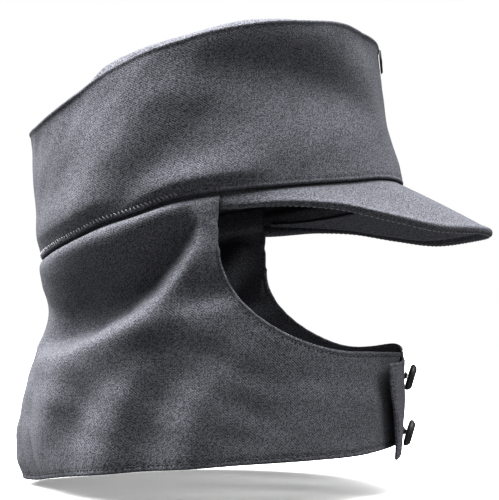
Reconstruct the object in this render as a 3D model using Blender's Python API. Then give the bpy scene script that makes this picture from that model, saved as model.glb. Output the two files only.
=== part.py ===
"""A field cap with a stiff peak and a neck flap that buttons under the chin.

Metres, +Z up. The wearer looks along -Y, the wearer's right is -X, and the origin is the middle of
the head opening, where a head carries the cap. Every cloth piece is a thin wall whose outer face is
worked out from the sizes, the section tables and the fold tables below. A place around the head is
a turn: 0 at the nape, 1 or -1 at the brow, positive on the wearer's left.
"""

import math
from itertools import groupby, pairwise
from typing import NamedTuple

import bmesh
import bpy
import numpy as np
from mathutils import Vector

# Driving sizes
HEAD_LENGTH = 0.2136
HEAD_WIDTH = 0.1676
HEAD_SETBACK = 0.002
CROWN_CLOTH = 0.0022
CROWN_HEIGHT = 0.104
CROWN_PUFF = 0.0015
RIM_TILT = 0.044
TOP_LENGTH = 0.214
TOP_WIDTH = 0.156
TOP_SETBACK = 0.0125
TOP_DOME = 0.018
TOP_CREASE = 0.0008
SEAM_FLANGE = 0.007
NAPE_CORNER = 0.0035
NAPE_CORNER_REACH = 0.006
CROWN_FOLD = 0.0018
FOLD_REACH = 0.010
FLAP_CLOTH = 0.0020
FLAP_DROP = 0.155
FLAP_MARGIN = 0.010
FLAP_FOLD = 0.013
FLAP_ROLL = 0.009
TEMPLE_TURN = 0.547
OPENING_DEPTH = 0.0555
OPENING_REACH = 0.253
CHIN_SLOPE = 0.0015
CHIN_OVERLAP = 0.026
CHIN_STANDOFF = 0.0024
CHIN_SLANT = 0.0065
PEAK_LENGTH = 0.054
PEAK_FLARE = 0.001
PEAK_FALL = 0.011
PEAK_ARCH = 0.0006
PEAK_CLOTH = 0.0024
PEAK_ROLL = 0.0045
PEAK_FLANGE = 0.006
LINING_CLOTH = 0.0012
BUTTON_DIAMETER = 0.0155
BUTTON_THICKNESS = 0.003
BUTTON_DROOP = math.radians(20)
BUTTON_DEPTH = 0.013
BUTTON_SPACING = 0.032
SHANK_LENGTH = 0.0022
SHANK_DIAMETER = 0.0034
COCKADE_DIAMETER = 0.014
COCKADE_THICKNESS = 0.0014
COCKADE_DEPTH = 0.0095
GAP = 0.0003

# Worked out from the driving sizes
HALF_WIDTH = HEAD_WIDTH / 2 + CROWN_CLOTH
HALF_LENGTH = HEAD_LENGTH / 2 + CROWN_CLOTH
HALF_GIRTH = math.pi * math.hypot(HALF_LENGTH, HALF_WIDTH) / math.sqrt(2)
SEAM_INSET = CROWN_CLOTH + GAP
OVERLAP_TURN = CHIN_OVERLAP / HALF_GIRTH
PEAK_TURN = TEMPLE_TURN + 3 * GAP / HALF_GIRTH

# Shape of the outlines and curves
BASE_CORNER = 2.0
TOP_CORNER = 2.3
DOME_CORNER = 3
NAPE_CORNER_RISES = (0.55, 0.95)
SMOOTH_ANGLE = math.radians(50)
SLOPE_STEP = 0.0001

# How finely each piece is cut
CROWN_COLUMNS = 60
CROWN_ROWS = 8
TOP_RINGS = 7
FLAP_REAR_COLUMNS = 17
FLAP_CORNER_COLUMNS = 10
FLAP_STRIP_COLUMNS = 8
FLAP_OVERLAP_COLUMNS = 3
FLAP_ROWS = 15
FLAP_EDGE_ROWS = 3
PEAK_COLUMNS = 40
LATHE_STEPS = 20
SHANK_STEPS = 10


class Level(NamedTuple):
    """A height at a place along a line; the table says what the two are shares of."""

    place: float
    share: float


class Section(NamedTuple):
    """The neck flap's outline at one depth, as shares of the crown's lower outline."""

    depth: float
    rear: float
    side: float
    front: float


class Crest(NamedTuple):
    """One point of a fold's line: its place, its lift, and its reach above and below the line.

    The table says what level and lift are shares of; the reaches are shares of FOLD_REACH.
    """

    fold: str
    turn: float
    level: float
    lift: float
    above: float
    below: float


class Turned(NamedTuple):
    """One ring of a turned piece, as shares of its radius and thickness."""

    radius: float
    depth: float


class Lip(NamedTuple):
    """One point of the peak's section.

    share is the way from the crown to the rolled edge, which starts roll rolls before the edge; over and
    under say how far the faces swell, as shares of what the rolled edge adds to the cloth.
    """

    share: float
    roll: float
    over: float
    under: float


class Ease(NamedTuple):
    """How the left end of the neck flap leaves the plain form on its way over the right end."""

    turn: float
    layer: float
    standoff: float
    slant: float


# Height of the crown's lower edge, as a share of RIM_TILT, from the brow, -1, to the nape, 1
RIM_LINE = (
    Level(-1.00, 0.447),
    Level(-0.74, 0.330),
    Level(-0.33, 0.190),
    Level(-0.15, 0.136),
    Level(0.11, -0.010),
    Level(0.46, -0.240),
    Level(0.71, -0.415),
    Level(1.00, -0.545),
)

# Height of the crown's top edge, as a share of CROWN_HEIGHT, from the brow to the nape
TOP_LINE = (
    Level(-1.00, 0.990),
    Level(-0.82, 1.000),
    Level(-0.62, 0.978),
    Level(-0.38, 0.951),
    Level(-0.12, 0.892),
    Level(0.18, 0.785),
    Level(0.53, 0.647),
    Level(0.74, 0.556),
    Level(0.88, 0.508),
    Level(1.00, 0.505),
)

# How far the top panel is pushed up, as a share of TOP_DOME, from the brow to the nape
DOME_LINE = (
    Level(-1.00, 0.15),
    Level(-0.75, 0.38),
    Level(-0.50, 0.78),
    Level(-0.20, 1.00),
    Level(0.10, 1.08),
    Level(0.50, 1.22),
    Level(0.80, 1.08),
    Level(1.00, 0.80),
)

# How far the crown's side swells out halfway up, as a share of CROWN_PUFF, from the brow to the nape
PUFF_LINE = (
    Level(-1.00, -1.80),
    Level(-0.85, -1.10),
    Level(-0.50, 0.40),
    Level(0.00, 1.00),
    Level(0.60, 0.80),
    Level(1.00, 0.30),
)

# Depth of the neck flap's hem, as a share of FLAP_DROP, by turn
HEM_LINE = (
    Level(0.00, 1.000),
    Level(0.10, 0.993),
    Level(0.20, 0.970),
    Level(0.34, 0.929),
    Level(0.46, 0.899),
    Level(0.59, 0.879),
    Level(0.70, 0.869),
    Level(0.80, 0.864),
    Level(0.90, 0.853),
    Level(1.00, 0.850),
    Level(1.10, 0.850),
)

# Outline of the neck flap; depth is a share of FLAP_DROP below the origin
FLAP_SECTIONS = (
    Section(-0.20, 0.977, 0.971, 0.977),
    Section(0.13, 0.990, 0.976, 0.972),
    Section(0.22, 0.955, 0.978, 0.970),
    Section(0.31, 0.938, 0.974, 0.968),
    Section(0.37, 0.936, 0.970, 0.968),
    Section(0.43, 0.958, 0.970, 0.968),
    Section(0.54, 1.020, 0.970, 0.966),
    Section(0.70, 1.083, 0.968, 0.966),
    Section(0.85, 1.124, 0.960, 0.955),
    Section(0.92, 1.118, 0.953, 0.945),
    Section(1.00, 1.080, 0.945, 0.935),
)

# Folds of the crown; level is the share of the way up its side, lift a share of CROWN_FOLD
CROWN_FOLDS = (
    Crest("rear light", 0.354, 0.92, 0.5, 1.6, 1.6),
    Crest("rear light", 0.344, 0.41, 0.7, 1.6, 1.6),
    Crest("rear light", 0.315, 0.06, 0.4, 1.4, 1.4),
    Crest("side hollow", 0.485, 0.88, -0.6, 1.8, 1.8),
    Crest("side hollow", 0.475, 0.45, -0.9, 2.0, 2.0),
    Crest("side hollow", 0.462, 0.22, -0.5, 1.4, 1.4),
    Crest("temple ridge", 0.434, 0.12, 0.0, 1.0, 0.7),
    Crest("temple ridge", 0.480, 0.18, 0.8, 1.0, 0.7),
    Crest("temple ridge", 0.540, 0.19, 0.8, 1.0, 0.7),
    Crest("temple ridge", 0.600, 0.17, 0.0, 1.0, 0.7),
    Crest("brow hollow", 0.690, 0.82, 0.0, 1.6, 2.0),
    Crest("brow hollow", 0.760, 0.74, -1.0, 1.6, 2.0),
    Crest("brow hollow", 0.830, 0.60, -0.8, 1.4, 1.8),
    Crest("brow hollow", 0.880, 0.45, 0.0, 1.2, 1.4),
)

# Folds of the neck flap; level is the depth as a share of FLAP_DROP, lift a share of FLAP_FOLD
FLAP_FOLDS = (
    Crest("sling", 0.530, 0.02, 0.00, 0.5, 1.2),
    Crest("sling", 0.512, 0.07, 0.20, 0.5, 1.3),
    Crest("sling", 0.484, 0.16, 0.34, 0.5, 1.5),
    Crest("sling", 0.428, 0.29, 0.44, 0.5, 1.7),
    Crest("sling", 0.368, 0.405, 0.48, 0.5, 1.8),
    Crest("sling", 0.312, 0.47, 0.48, 0.5, 1.8),
    Crest("sling", 0.232, 0.51, 0.38, 0.5, 1.8),
    Crest("sling", 0.150, 0.53, 0.18, 0.6, 1.8),
    Crest("sling", 0.080, 0.55, 0.00, 0.8, 1.8),
    Crest("hollow", 0.510, -0.01, 0.00, 0.8, 0.6),
    Crest("hollow", 0.488, 0.07, -0.32, 1.0, 0.6),
    Crest("hollow", 0.458, 0.14, -0.60, 1.4, 0.7),
    Crest("hollow", 0.402, 0.25, -0.95, 2.1, 0.7),
    Crest("hollow", 0.342, 0.36, -1.15, 2.7, 0.7),
    Crest("hollow", 0.290, 0.42, -1.10, 3.0, 0.7),
    Crest("hollow", 0.225, 0.455, -0.85, 2.8, 0.7),
    Crest("hollow", 0.165, 0.465, -0.35, 2.2, 0.7),
    Crest("hollow", 0.110, 0.47, 0.00, 1.8, 0.7),
    Crest("cheek", 0.375, 0.41, 0.00, 1.0, 0.7),
    Crest("cheek", 0.430, 0.39, 0.20, 1.2, 0.8),
    Crest("cheek", 0.500, 0.37, 0.22, 1.2, 0.8),
    Crest("cheek", 0.560, 0.34, 0.00, 1.0, 0.8),
    Crest("cheek hollow", 0.380, 0.46, 0.00, 0.7, 1.2),
    Crest("cheek hollow", 0.430, 0.455, -0.20, 0.7, 1.4),
    Crest("cheek hollow", 0.500, 0.445, -0.24, 0.7, 1.6),
    Crest("cheek hollow", 0.580, 0.43, 0.00, 0.7, 1.4),
    Crest("nape flute", 0.256, 0.57, 0.10, 1.1, 1.1),
    Crest("nape flute", 0.163, 0.70, 0.22, 1.2, 1.2),
    Crest("nape flute", 0.115, 0.85, 0.20, 1.3, 1.3),
    Crest("nape flute", 0.090, 1.05, 0.08, 1.4, 1.4),
    Crest("nape hollow", 0.334, 0.52, 0.00, 1.1, 1.1),
    Crest("nape hollow", 0.300, 0.63, -0.24, 1.2, 1.2),
    Crest("nape hollow", 0.245, 0.78, -0.32, 1.4, 1.4),
    Crest("nape hollow", 0.238, 1.05, -0.20, 1.5, 1.5),
    Crest("ear flute", 0.408, 0.53, 0.06, 1.1, 1.1),
    Crest("ear flute", 0.387, 0.63, 0.20, 1.2, 1.2),
    Crest("ear flute", 0.365, 0.80, 0.24, 1.3, 1.3),
    Crest("ear flute", 0.345, 1.05, 0.12, 1.4, 1.4),
    Crest("ear hollow", 0.472, 0.50, 0.00, 1.0, 1.0),
    Crest("ear hollow", 0.451, 0.63, -0.20, 1.1, 1.1),
    Crest("ear hollow", 0.424, 0.76, -0.24, 1.2, 1.2),
    Crest("ear hollow", 0.412, 1.05, -0.12, 1.3, 1.3),
    Crest("jaw flute", 0.536, 0.57, 0.00, 1.0, 1.0),
    Crest("jaw flute", 0.511, 0.66, 0.15, 1.1, 1.1),
    Crest("jaw flute", 0.482, 0.80, 0.18, 1.2, 1.2),
    Crest("jaw flute", 0.462, 1.05, 0.06, 1.3, 1.3),
)

# The left end of the neck flap over the right one
LEFT_END = (
    Ease(0.780, 0.0, 0.0, 0.0),
    Ease(0.890, 1.0, 0.0, -0.3),
    Ease(1.000, 1.0, 0.1, -0.9),
    Ease(1.085, 1.0, 1.0, -1.0),
)

# Depth of the peak's outer edge, as a share of PEAK_FALL, from the temples, 0, to the tip, 1
PEAK_EDGE = (
    Level(0.00, 0.23),
    Level(0.28, 0.00),
    Level(0.44, 0.10),
    Level(0.63, 0.60),
    Level(0.80, 1.00),
    Level(1.00, 0.87),
)

# Section of the peak from the crown to its rolled edge
PEAK_SECTION = (
    Lip(0.00, 1.45, 0.00, 0.00),
    Lip(0.25, 1.45, 0.00, 0.00),
    Lip(0.50, 1.45, 0.00, 0.00),
    Lip(0.75, 1.45, 0.00, 0.00),
    Lip(1.00, 1.45, 0.00, 0.00),
    Lip(1.00, 1.00, 0.10, 0.45),
    Lip(1.00, 0.50, 0.22, 0.75),
    Lip(1.00, 0.15, 0.00, 0.50),
    Lip(1.00, 0.00, -0.45, 0.00),
)
LINING_SHARES = (0.06, 0.30, 0.54, 0.78, 0.99)

BUTTON_PROFILE = (
    Turned(0.00, 0.80),
    Turned(0.45, 0.90),
    Turned(0.72, 1.00),
    Turned(0.92, 0.86),
    Turned(1.00, 0.52),
    Turned(0.90, 0.16),
    Turned(0.50, 0.00),
    Turned(0.00, 0.00),
)

COCKADE_PROFILE = (
    Turned(0.00, 1.00),
    Turned(0.40, 0.92),
    Turned(0.46, 0.62),
    Turned(0.78, 0.62),
    Turned(0.90, 0.90),
    Turned(1.00, 0.50),
    Turned(1.00, 0.00),
    Turned(0.00, 0.00),
)


def mix(start, end, share):
    """The value or point at a share of the way from start to end."""
    return start + (end - start) * share


def ease(share):
    """A share from 0 to 1 that leaves and arrives gently."""
    share = np.clip(share, 0.0, 1.0)
    return share * share * (3.0 - 2.0 * share)


def through(rows, key, column, place):
    """A smooth value through one column of a table, read at a place along another."""
    xs = np.array([getattr(row, key) for row in rows])
    ys = np.array([getattr(row, column) for row in rows])
    slopes = np.gradient(ys, xs)
    slopes[0] = slopes[-1] = 0.0
    place = np.clip(place, xs[0], xs[-1])
    i = np.clip(np.searchsorted(xs, place) - 1, 0, len(xs) - 2)
    step = xs[i + 1] - xs[i]
    t = (place - xs[i]) / step
    rise = ys[i + 1] - ys[i]
    bend = t * (t - 1.0) * ((t - 1.0) * (slopes[i] * step - rise) + t * (slopes[i + 1] * step - rise))
    return ys[i] + rise * t + bend


def fold_lift(folds, turn, up, height):
    """How far a set of folds lifts the cloth at a turn and a height up.

    A row's level times height is the height of its point. Each fold is a crest along the line through
    its rows, with its own reach above and below that line.
    """
    across = np.abs(turn) * HALF_GIRTH
    total = np.zeros(np.broadcast(across, up).shape)
    for _, crests in groupby(folds, key=lambda crest: crest.fold):
        nearest = np.full(total.shape, np.inf)
        lift = np.zeros(total.shape)
        for start, end in pairwise(crests):
            start_across, start_up = start.turn * HALF_GIRTH, start.level * height
            run_across = end.turn * HALF_GIRTH - start_across
            run_up = end.level * height - start_up
            off_across, off_up = across - start_across, up - start_up
            share = off_across * run_across + off_up * run_up
            share = np.clip(share / (run_across**2 + run_up**2), 0.0, 1.0)
            away = np.hypot(off_across - share * run_across, off_up - share * run_up)
            side = (run_across * off_up - run_up * off_across) * np.sign(run_across or -run_up)
            reach = np.where(side > 0, mix(start.above, end.above, share), mix(start.below, end.below, share))
            crest = mix(start.lift, end.lift, share) * np.exp(-((away / reach / FOLD_REACH) ** 2))
            lift = np.where(away < nearest, crest, lift)
            nearest = np.minimum(away, nearest)
        total = total + lift
    return total


def outline(turn, half_width, front, rear, corner):
    """A point of an egg-shaped outline round the head, and the outward direction there."""
    angle = np.pi * np.asarray(turn, float)
    sine, cosine = np.sin(angle), np.cos(angle)
    length = np.where(cosine > 0, rear, front)
    x = half_width * np.sign(sine) * np.abs(sine) ** (2.0 / corner)
    y = length * np.sign(cosine) * np.abs(cosine) ** (2.0 / corner)
    out_x, out_y = sine / half_width, cosine / length
    size = np.hypot(out_x, out_y)
    return x, y, out_x / size, out_y / size


def rim_height(turn):
    """Height of the crown's lower edge."""
    return RIM_TILT * through(RIM_LINE, "place", "share", np.cos(np.pi * np.asarray(turn, float)))


def crown_point(turn, rise, inset=0.0):
    """A point of the crown's side, from its lower edge, rise 0, to its top edge, rise 1."""
    turn, rise = np.broadcast_arrays(np.asarray(turn, float), np.asarray(rise, float))
    length = mix(HALF_LENGTH, TOP_LENGTH / 2, rise)
    corner = mix(BASE_CORNER, TOP_CORNER, np.clip(rise, 0.0, 1.0))
    x, y, out_x, out_y = outline(turn, mix(HALF_WIDTH, TOP_WIDTH / 2, rise), length, length, corner)
    top = CROWN_HEIGHT * through(TOP_LINE, "place", "share", np.cos(np.pi * turn))
    z = mix(rim_height(turn), top, rise)
    puff = CROWN_PUFF * through(PUFF_LINE, "place", "share", np.cos(np.pi * turn))
    puff = puff * np.sin(np.pi * np.clip(rise, 0.0, 1.0))
    fold = CROWN_FOLD * fold_lift(CROWN_FOLDS, turn, np.clip(rise, 0, 1) * CROWN_HEIGHT, CROWN_HEIGHT)
    low, high = NAPE_CORNER_RISES
    nape = NAPE_CORNER * np.exp(-((turn * HALF_GIRTH / NAPE_CORNER_REACH) ** 2))
    nape = nape * ease((rise - low) / (high - low))
    out = puff + fold + nape - inset
    y = y + mix(HEAD_SETBACK, TOP_SETBACK, rise)
    return np.stack([x + out_x * out, y + out_y * out, z], -1)


def hanging_point(turn, height):
    """A point of the neck flap's outer face at a height, where it hangs free of the crown."""
    depth = -height / FLAP_DROP
    rear, side, front = (through(FLAP_SECTIONS, "depth", name, depth) for name in ("rear", "side", "front"))
    front, rear = HALF_LENGTH * front, HALF_LENGTH * rear
    x, y, out_x, out_y = outline(turn, HALF_WIDTH * side, front, rear, BASE_CORNER)
    out = FLAP_FOLD * fold_lift(FLAP_FOLDS, turn, height, -FLAP_DROP)
    return np.stack([x + out_x * out, y + out_y * out + HEAD_SETBACK, height + 0.0 * x], -1)


def flap_point(turn, height):
    """A point of the neck flap's outer face: tucked inside the crown, then hanging below it."""
    turn, height = np.broadcast_arrays(np.asarray(turn, float), np.asarray(height, float))
    below = rim_height(turn) - height
    wall = CROWN_HEIGHT * through(TOP_LINE, "place", "share", np.cos(np.pi * turn)) - rim_height(turn)
    tucked = crown_point(turn, -below / wall, SEAM_INSET)
    share = ease((below - 2 * GAP) / FLAP_ROLL)[..., None]
    over = np.where(turn > 0, turn, 0.0)
    layer = through(LEFT_END, "turn", "layer", over) * (FLAP_CLOTH + 2 * GAP)
    layer = layer + through(LEFT_END, "turn", "standoff", over) * CHIN_STANDOFF
    point = mix(tucked, hanging_point(turn, height), share)
    outward = np.stack([np.sin(np.pi * turn), np.cos(np.pi * turn), 0.0 * turn], -1)
    return point + outward * layer[..., None]


def opening_height(turn):
    """Height of the face opening's lower edge: a quarter ellipse, then nearly level to the chin."""
    hem = -FLAP_DROP * through(HEM_LINE, "place", "share", TEMPLE_TURN)
    top = mix(rim_height(TEMPLE_TURN), hem, FLAP_EDGE_ROWS / FLAP_ROWS)
    share = np.clip((turn - TEMPLE_TURN) / OPENING_REACH, 0.0, 1.0)
    chin = np.clip((turn - TEMPLE_TURN) / OPENING_REACH - 1.0, 0.0, 1.0)
    return top - OPENING_DEPTH * np.sqrt(1.0 - (1.0 - share) ** 2) - CHIN_SLOPE * chin


def flap_columns():
    """Turns of the neck flap's columns along its upper edge and along its hem, nape to chin."""
    rear = [(TEMPLE_TURN * i / FLAP_REAR_COLUMNS,) * 2 for i in range(FLAP_REAR_COLUMNS)]
    corner = []
    for i in range(FLAP_CORNER_COLUMNS + 1):
        share = i / FLAP_CORNER_COLUMNS
        edge = TEMPLE_TURN + OPENING_REACH * (1 - math.cos(share * math.pi / 2))
        corner.append((edge, TEMPLE_TURN + OPENING_REACH * share))
    strip = np.linspace(TEMPLE_TURN + OPENING_REACH, 1.0, FLAP_STRIP_COLUMNS + 1)[1:]
    overlap = np.linspace(1.0, 1.0 + OVERLAP_TURN, FLAP_OVERLAP_COLUMNS + 1)[1:]
    return rear + corner + [(turn, turn) for turn in (*strip, *overlap)]


def flap_column(edge_turn, hem_turn, side):
    """Points of one column of the neck flap, top to hem; a front column has no rows at the temple."""
    temple = edge_turn <= TEMPLE_TURN
    rows = np.arange(0 if temple else FLAP_EDGE_ROWS, FLAP_ROWS + 1)
    first = 0 if temple else FLAP_EDGE_ROWS
    share = (rows - first) / (FLAP_ROWS - first)
    turn = mix(edge_turn, hem_turn, share)
    top = rim_height(edge_turn) - 2 * GAP if temple else opening_height(edge_turn)
    hem = -FLAP_DROP * through(HEM_LINE, "place", "share", hem_turn)
    height = mix(top, hem, share)
    if side > 0:
        height = height + CHIN_SLANT * through(LEFT_END, "turn", "slant", turn)
    points = flap_point(side * turn, height)
    if temple:
        margin = flap_point(side * edge_turn, rim_height(edge_turn) + FLAP_MARGIN)
        points = np.vstack([margin[None], points])
    return points


def peak_edge(share):
    """The middle of the peak's outer edge, from one temple, -1, through the tip, 0, to the other, 1."""
    end = crown_point(PEAK_TURN, 0.0, SEAM_INSET)
    brow = crown_point(1.0, 0.0)
    angle = np.asarray(share, float) * np.pi / 2
    x = (end[0] + PEAK_FLARE) * np.sin(angle)
    y = end[1] - (end[1] - brow[1] + PEAK_LENGTH) * np.cos(angle)
    z = -PEAK_FALL * through(PEAK_EDGE, "place", "share", np.cos(angle))
    return np.stack([x, y, z], -1)


def peak_face(turn, across):
    """A point of the peak's upper face; across runs from the crown, 0, to the outer edge, 1."""
    turn, across = np.broadcast_arrays(np.asarray(turn, float), np.asarray(across, float))
    inner = crown_point(turn, 0.0, SEAM_INSET)
    outer = peak_edge(np.sign(turn) * (1.0 - np.abs(turn)) / (1.0 - PEAK_TURN))
    point = mix(inner, outer, across[..., None])
    point[..., 2] += PEAK_ARCH * np.sin(np.pi * np.clip(across, 0.0, 1.0)) - 2 * GAP * (1.0 - across)
    return point


def peak_point(turn, share, roll, height):
    """A point at a height over the peak's upper face, placed as a row of its section is."""
    width = np.linalg.norm(peak_face(turn, 1.0) - peak_face(turn, 0.0), axis=-1)
    across = share * (1.0 - roll * PEAK_ROLL / width)
    along = peak_face(turn - SLOPE_STEP, across) - peak_face(turn + SLOPE_STEP, across)
    outward = peak_face(turn, across + SLOPE_STEP) - peak_face(turn, across - SLOPE_STEP)
    normal = np.cross(outward, along)
    normal /= np.linalg.norm(normal, axis=-1, keepdims=True)
    return peak_face(turn, across) + normal * height


def peak_turns(inset=0.0):
    """Turns of the peak's sections, from the right temple round the brow to the left one."""
    spread = np.linspace(-1.0, 1.0, PEAK_COLUMNS + 1) * (1.0 - inset)
    side = np.where(spread < 0, -1.0, 1.0)
    return side * (1.0 - np.abs(spread) * (1.0 - PEAK_TURN))


def material(name, colour, roughness, metallic=0.0):
    """A plain finish with the piece's colour."""
    finish = bpy.data.materials.get(name) or bpy.data.materials.new(name)
    finish.use_nodes = True
    shader = finish.node_tree.nodes["Principled BSDF"]
    shader.inputs["Base Color"].default_value = (*colour, 1.0)
    shader.inputs["Roughness"].default_value = roughness
    shader.inputs["Metallic"].default_value = metallic
    return finish


def place(name, shape, finish, cap):
    """Make a bmesh into the named object, with its finish, under the cap's empty."""
    bmesh.ops.recalc_face_normals(shape, faces=shape.faces)
    mesh = bpy.data.meshes.new(name)
    shape.to_mesh(mesh)
    shape.free()
    mesh.shade_smooth()
    mesh.set_sharp_from_angle(angle=SMOOTH_ANGLE)
    mesh.materials.append(finish)
    piece = bpy.data.objects.new(name, mesh)
    piece.parent = cap
    bpy.context.scene.collection.objects.link(piece)
    return piece


def sheet(columns, closed=False):
    """A bmesh sheet of quads between columns of points; a short column lacks its first rows.

    The quads start at another corner on the wearer's left, so that the two sides split alike.
    """
    shape = bmesh.new()
    rings = [[shape.verts.new(point) for point in column] for column in columns]
    pairs = list(pairwise(rings))
    if closed:
        pairs.append((rings[-1], rings[0]))
    for left, right in pairs:
        count = min(len(left), len(right))
        left, right = left[-count:], right[-count:]
        far = left[0].co.x + right[0].co.x > 0
        for i in range(count - 1):
            corners = (left[i], left[i + 1], right[i + 1], right[i])
            shape.faces.new(corners[1:] + corners[:1] if far else corners)
    return shape


def ribbed(sections):
    """A closed bmesh body through a row of closed sections, with flat ends."""
    shape = bmesh.new()
    rings = [[shape.verts.new(point) for point in section] for section in sections]
    for left, right in pairwise(rings):
        for i in range(len(left)):
            shape.faces.new((left[i - 1], left[i], right[i], right[i - 1]))
    shape.faces.new(rings[0])
    shape.faces.new(reversed(rings[-1]))
    return shape


def turned(profile, radius, thickness, steps):
    """A closed bmesh body turned about Z from a profile that starts and ends on the axis."""
    shape = bmesh.new()
    points = [shape.verts.new((row.radius * radius, 0.0, row.depth * thickness)) for row in profile]
    edges = [shape.edges.new(pair) for pair in pairwise(points)]
    bmesh.ops.spin(
        shape,
        geom=points + edges,
        cent=(0, 0, 0),
        axis=(0, 0, 1),
        angle=math.tau,
        steps=steps,
        use_merge=True,
    )
    bmesh.ops.remove_doubles(shape, verts=shape.verts, dist=1e-6)
    return shape


def stand(piece, seat, axis):
    """Stand a turned piece on a seat, with its own Z along an axis."""
    piece.location = seat
    piece.rotation_euler = Vector(axis).to_track_quat("Z", "Y").to_euler()


def thicken(piece, cloth):
    """Give a sheet its cloth's thickness, inwards."""
    wall = piece.modifiers.new("cloth", "SOLIDIFY")
    wall.thickness = cloth
    wall.offset = -1.0
    wall.use_even_offset = True
    wall.use_rim = True


def crown_side(cap, cloth):
    """The crown's side: one wall round the head, with a corner at the nape."""
    turns = np.linspace(-1.0, 1.0, CROWN_COLUMNS, endpoint=False)
    rises = np.linspace(0.0, 1.0, CROWN_ROWS + 1)
    shape = sheet([crown_point(turn, rises) for turn in turns], closed=True)
    piece = place("crown_side", shape, cloth, cap)
    thicken(piece, CROWN_CLOTH)


def crown_top(cap, cloth):
    """The oval top panel, pushed up by the head, with its edge turned down inside the side."""
    turns = np.linspace(-1.0, 1.0, CROWN_COLUMNS, endpoint=False)
    rim = crown_point(turns, 1.0, SEAM_INSET)
    flange = crown_point(turns, 1.0 - SEAM_FLANGE / CROWN_HEIGHT, SEAM_INSET)
    shape = bmesh.new()
    rings = [[shape.verts.new(point) for point in flange]]
    for ring in range(TOP_RINGS, 0, -1):
        share = ring / TOP_RINGS
        points = rim.copy()
        points[:, 0] *= share
        points[:, 1] = TOP_SETBACK + (points[:, 1] - TOP_SETBACK) * share
        points[:, 2] = top_panel_height(points)
        rings.append([shape.verts.new(point) for point in points])
    middle = np.array([[0.0, TOP_SETBACK, 0.0]])
    crown = shape.verts.new((0.0, TOP_SETBACK, top_panel_height(middle)[0]))
    for outer, inner in pairwise(rings):
        for i, vertex in enumerate(outer):
            shape.faces.new((inner[i], inner[i - 1], outer[i - 1], vertex))
    for i, vertex in enumerate(rings[-1]):
        shape.faces.new((crown, rings[-1][i - 1], vertex))
    piece = place("crown_top", shape, cloth, cap)
    thicken(piece, CROWN_CLOTH)


def top_panel_height(points):
    """Height of the domed top panel over its plan."""
    across = points[:, 0] / (TOP_WIDTH / 2 - SEAM_INSET)
    along = (points[:, 1] - TOP_SETBACK) / (TOP_LENGTH / 2 - SEAM_INSET)
    reach = (np.abs(across) ** TOP_CORNER + np.abs(along) ** TOP_CORNER) ** (1.0 / TOP_CORNER)
    edge = CROWN_HEIGHT * through(TOP_LINE, "place", "share", along)
    dome = TOP_DOME * through(DOME_LINE, "place", "share", along)
    return edge - TOP_CREASE + dome * (1.0 - np.minimum(reach, 1.0) ** DOME_CORNER)


def neck_flap(cap, cloth):
    """The neck flap: one sheet from its right end under the chin, round the nape, to its left end."""
    halves = {}
    for side in (-1, 1):
        halves[side] = [flap_column(edge, hem, side) for edge, hem in flap_columns()]
    columns = halves[-1][:0:-1] + halves[1]
    piece = place("neck_flap", sheet(columns), cloth, cap)
    thicken(piece, FLAP_CLOTH)


def peak_cover(cap, cloth):
    """The peak: a stiff covered leaf with a rolled edge and a flange sewn inside the crown."""
    swell = PEAK_ROLL - PEAK_CLOTH
    rise = PEAK_FLANGE / CROWN_HEIGHT
    sections = []
    for turn in peak_turns():
        over = [peak_point(turn, row.share, row.roll, row.over * swell) for row in PEAK_SECTION]
        under = [
            peak_point(turn, row.share, row.roll, -PEAK_CLOTH - row.under * swell) for row in PEAK_SECTION
        ]
        flange = [crown_point(turn, rise, SEAM_INSET + PEAK_CLOTH), crown_point(turn, rise, SEAM_INSET)]
        sections.append(flange + over + under[::-1])
    place("peak_cover", ribbed(sections), cloth, cap)


def peak_lining(cap, cloth):
    """The leaf under the peak, inside its rolled edge."""
    roll = PEAK_SECTION[0].roll
    faces = (-PEAK_CLOTH - GAP, -PEAK_CLOTH - GAP - LINING_CLOTH)
    sections = []
    for turn in peak_turns(inset=LINING_SHARES[0] / 2):
        over, under = ([peak_point(turn, share, roll, face) for share in LINING_SHARES] for face in faces)
        sections.append(over + under[::-1])
    place("peak_lining", ribbed(sections), cloth, cap)


def button(cap, name, height, plastic, thread):
    """A round button that droops on its thread shank, at a height on the middle of the chin."""
    axis = Vector((0.0, -math.cos(BUTTON_DROOP), -math.sin(BUTTON_DROOP)))
    clear = GAP + math.sin(BUTTON_DROOP) * SHANK_DIAMETER / 2
    seat = Vector(flap_point(1.0, height)) + axis * clear
    shank_profile = (Turned(0, 1), Turned(0.85, 1), Turned(1, 0), Turned(0, 0))
    shank = turned(shank_profile, SHANK_DIAMETER / 2, SHANK_LENGTH, SHANK_STEPS)
    stand(place(f"{name}_shank", shank, thread, cap), seat, axis)
    disc = turned(BUTTON_PROFILE, BUTTON_DIAMETER / 2, BUTTON_THICKNESS, LATHE_STEPS)
    stand(place(name, disc, plastic, cap), seat + axis * (SHANK_LENGTH + GAP), axis)


def cockade(cap, metal):
    """The plain round cockade at the front of the crown."""
    wall = CROWN_HEIGHT - rim_height(1.0)
    rise = 1.0 - COCKADE_DEPTH / wall
    reach = COCKADE_DIAMETER / 2 / wall
    low, seat, high = (Vector(crown_point(1.0, rise + step)) for step in (-reach, 0.0, reach))
    axis = Vector((1.0, 0.0, 0.0)).cross(high - low).normalized()
    if axis.y > 0:
        axis.negate()
    disc = turned(COCKADE_PROFILE, COCKADE_DIAMETER / 2, COCKADE_THICKNESS, LATHE_STEPS)
    stand(place("cockade", disc, metal, cap), seat + axis * 2 * GAP, axis)


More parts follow.
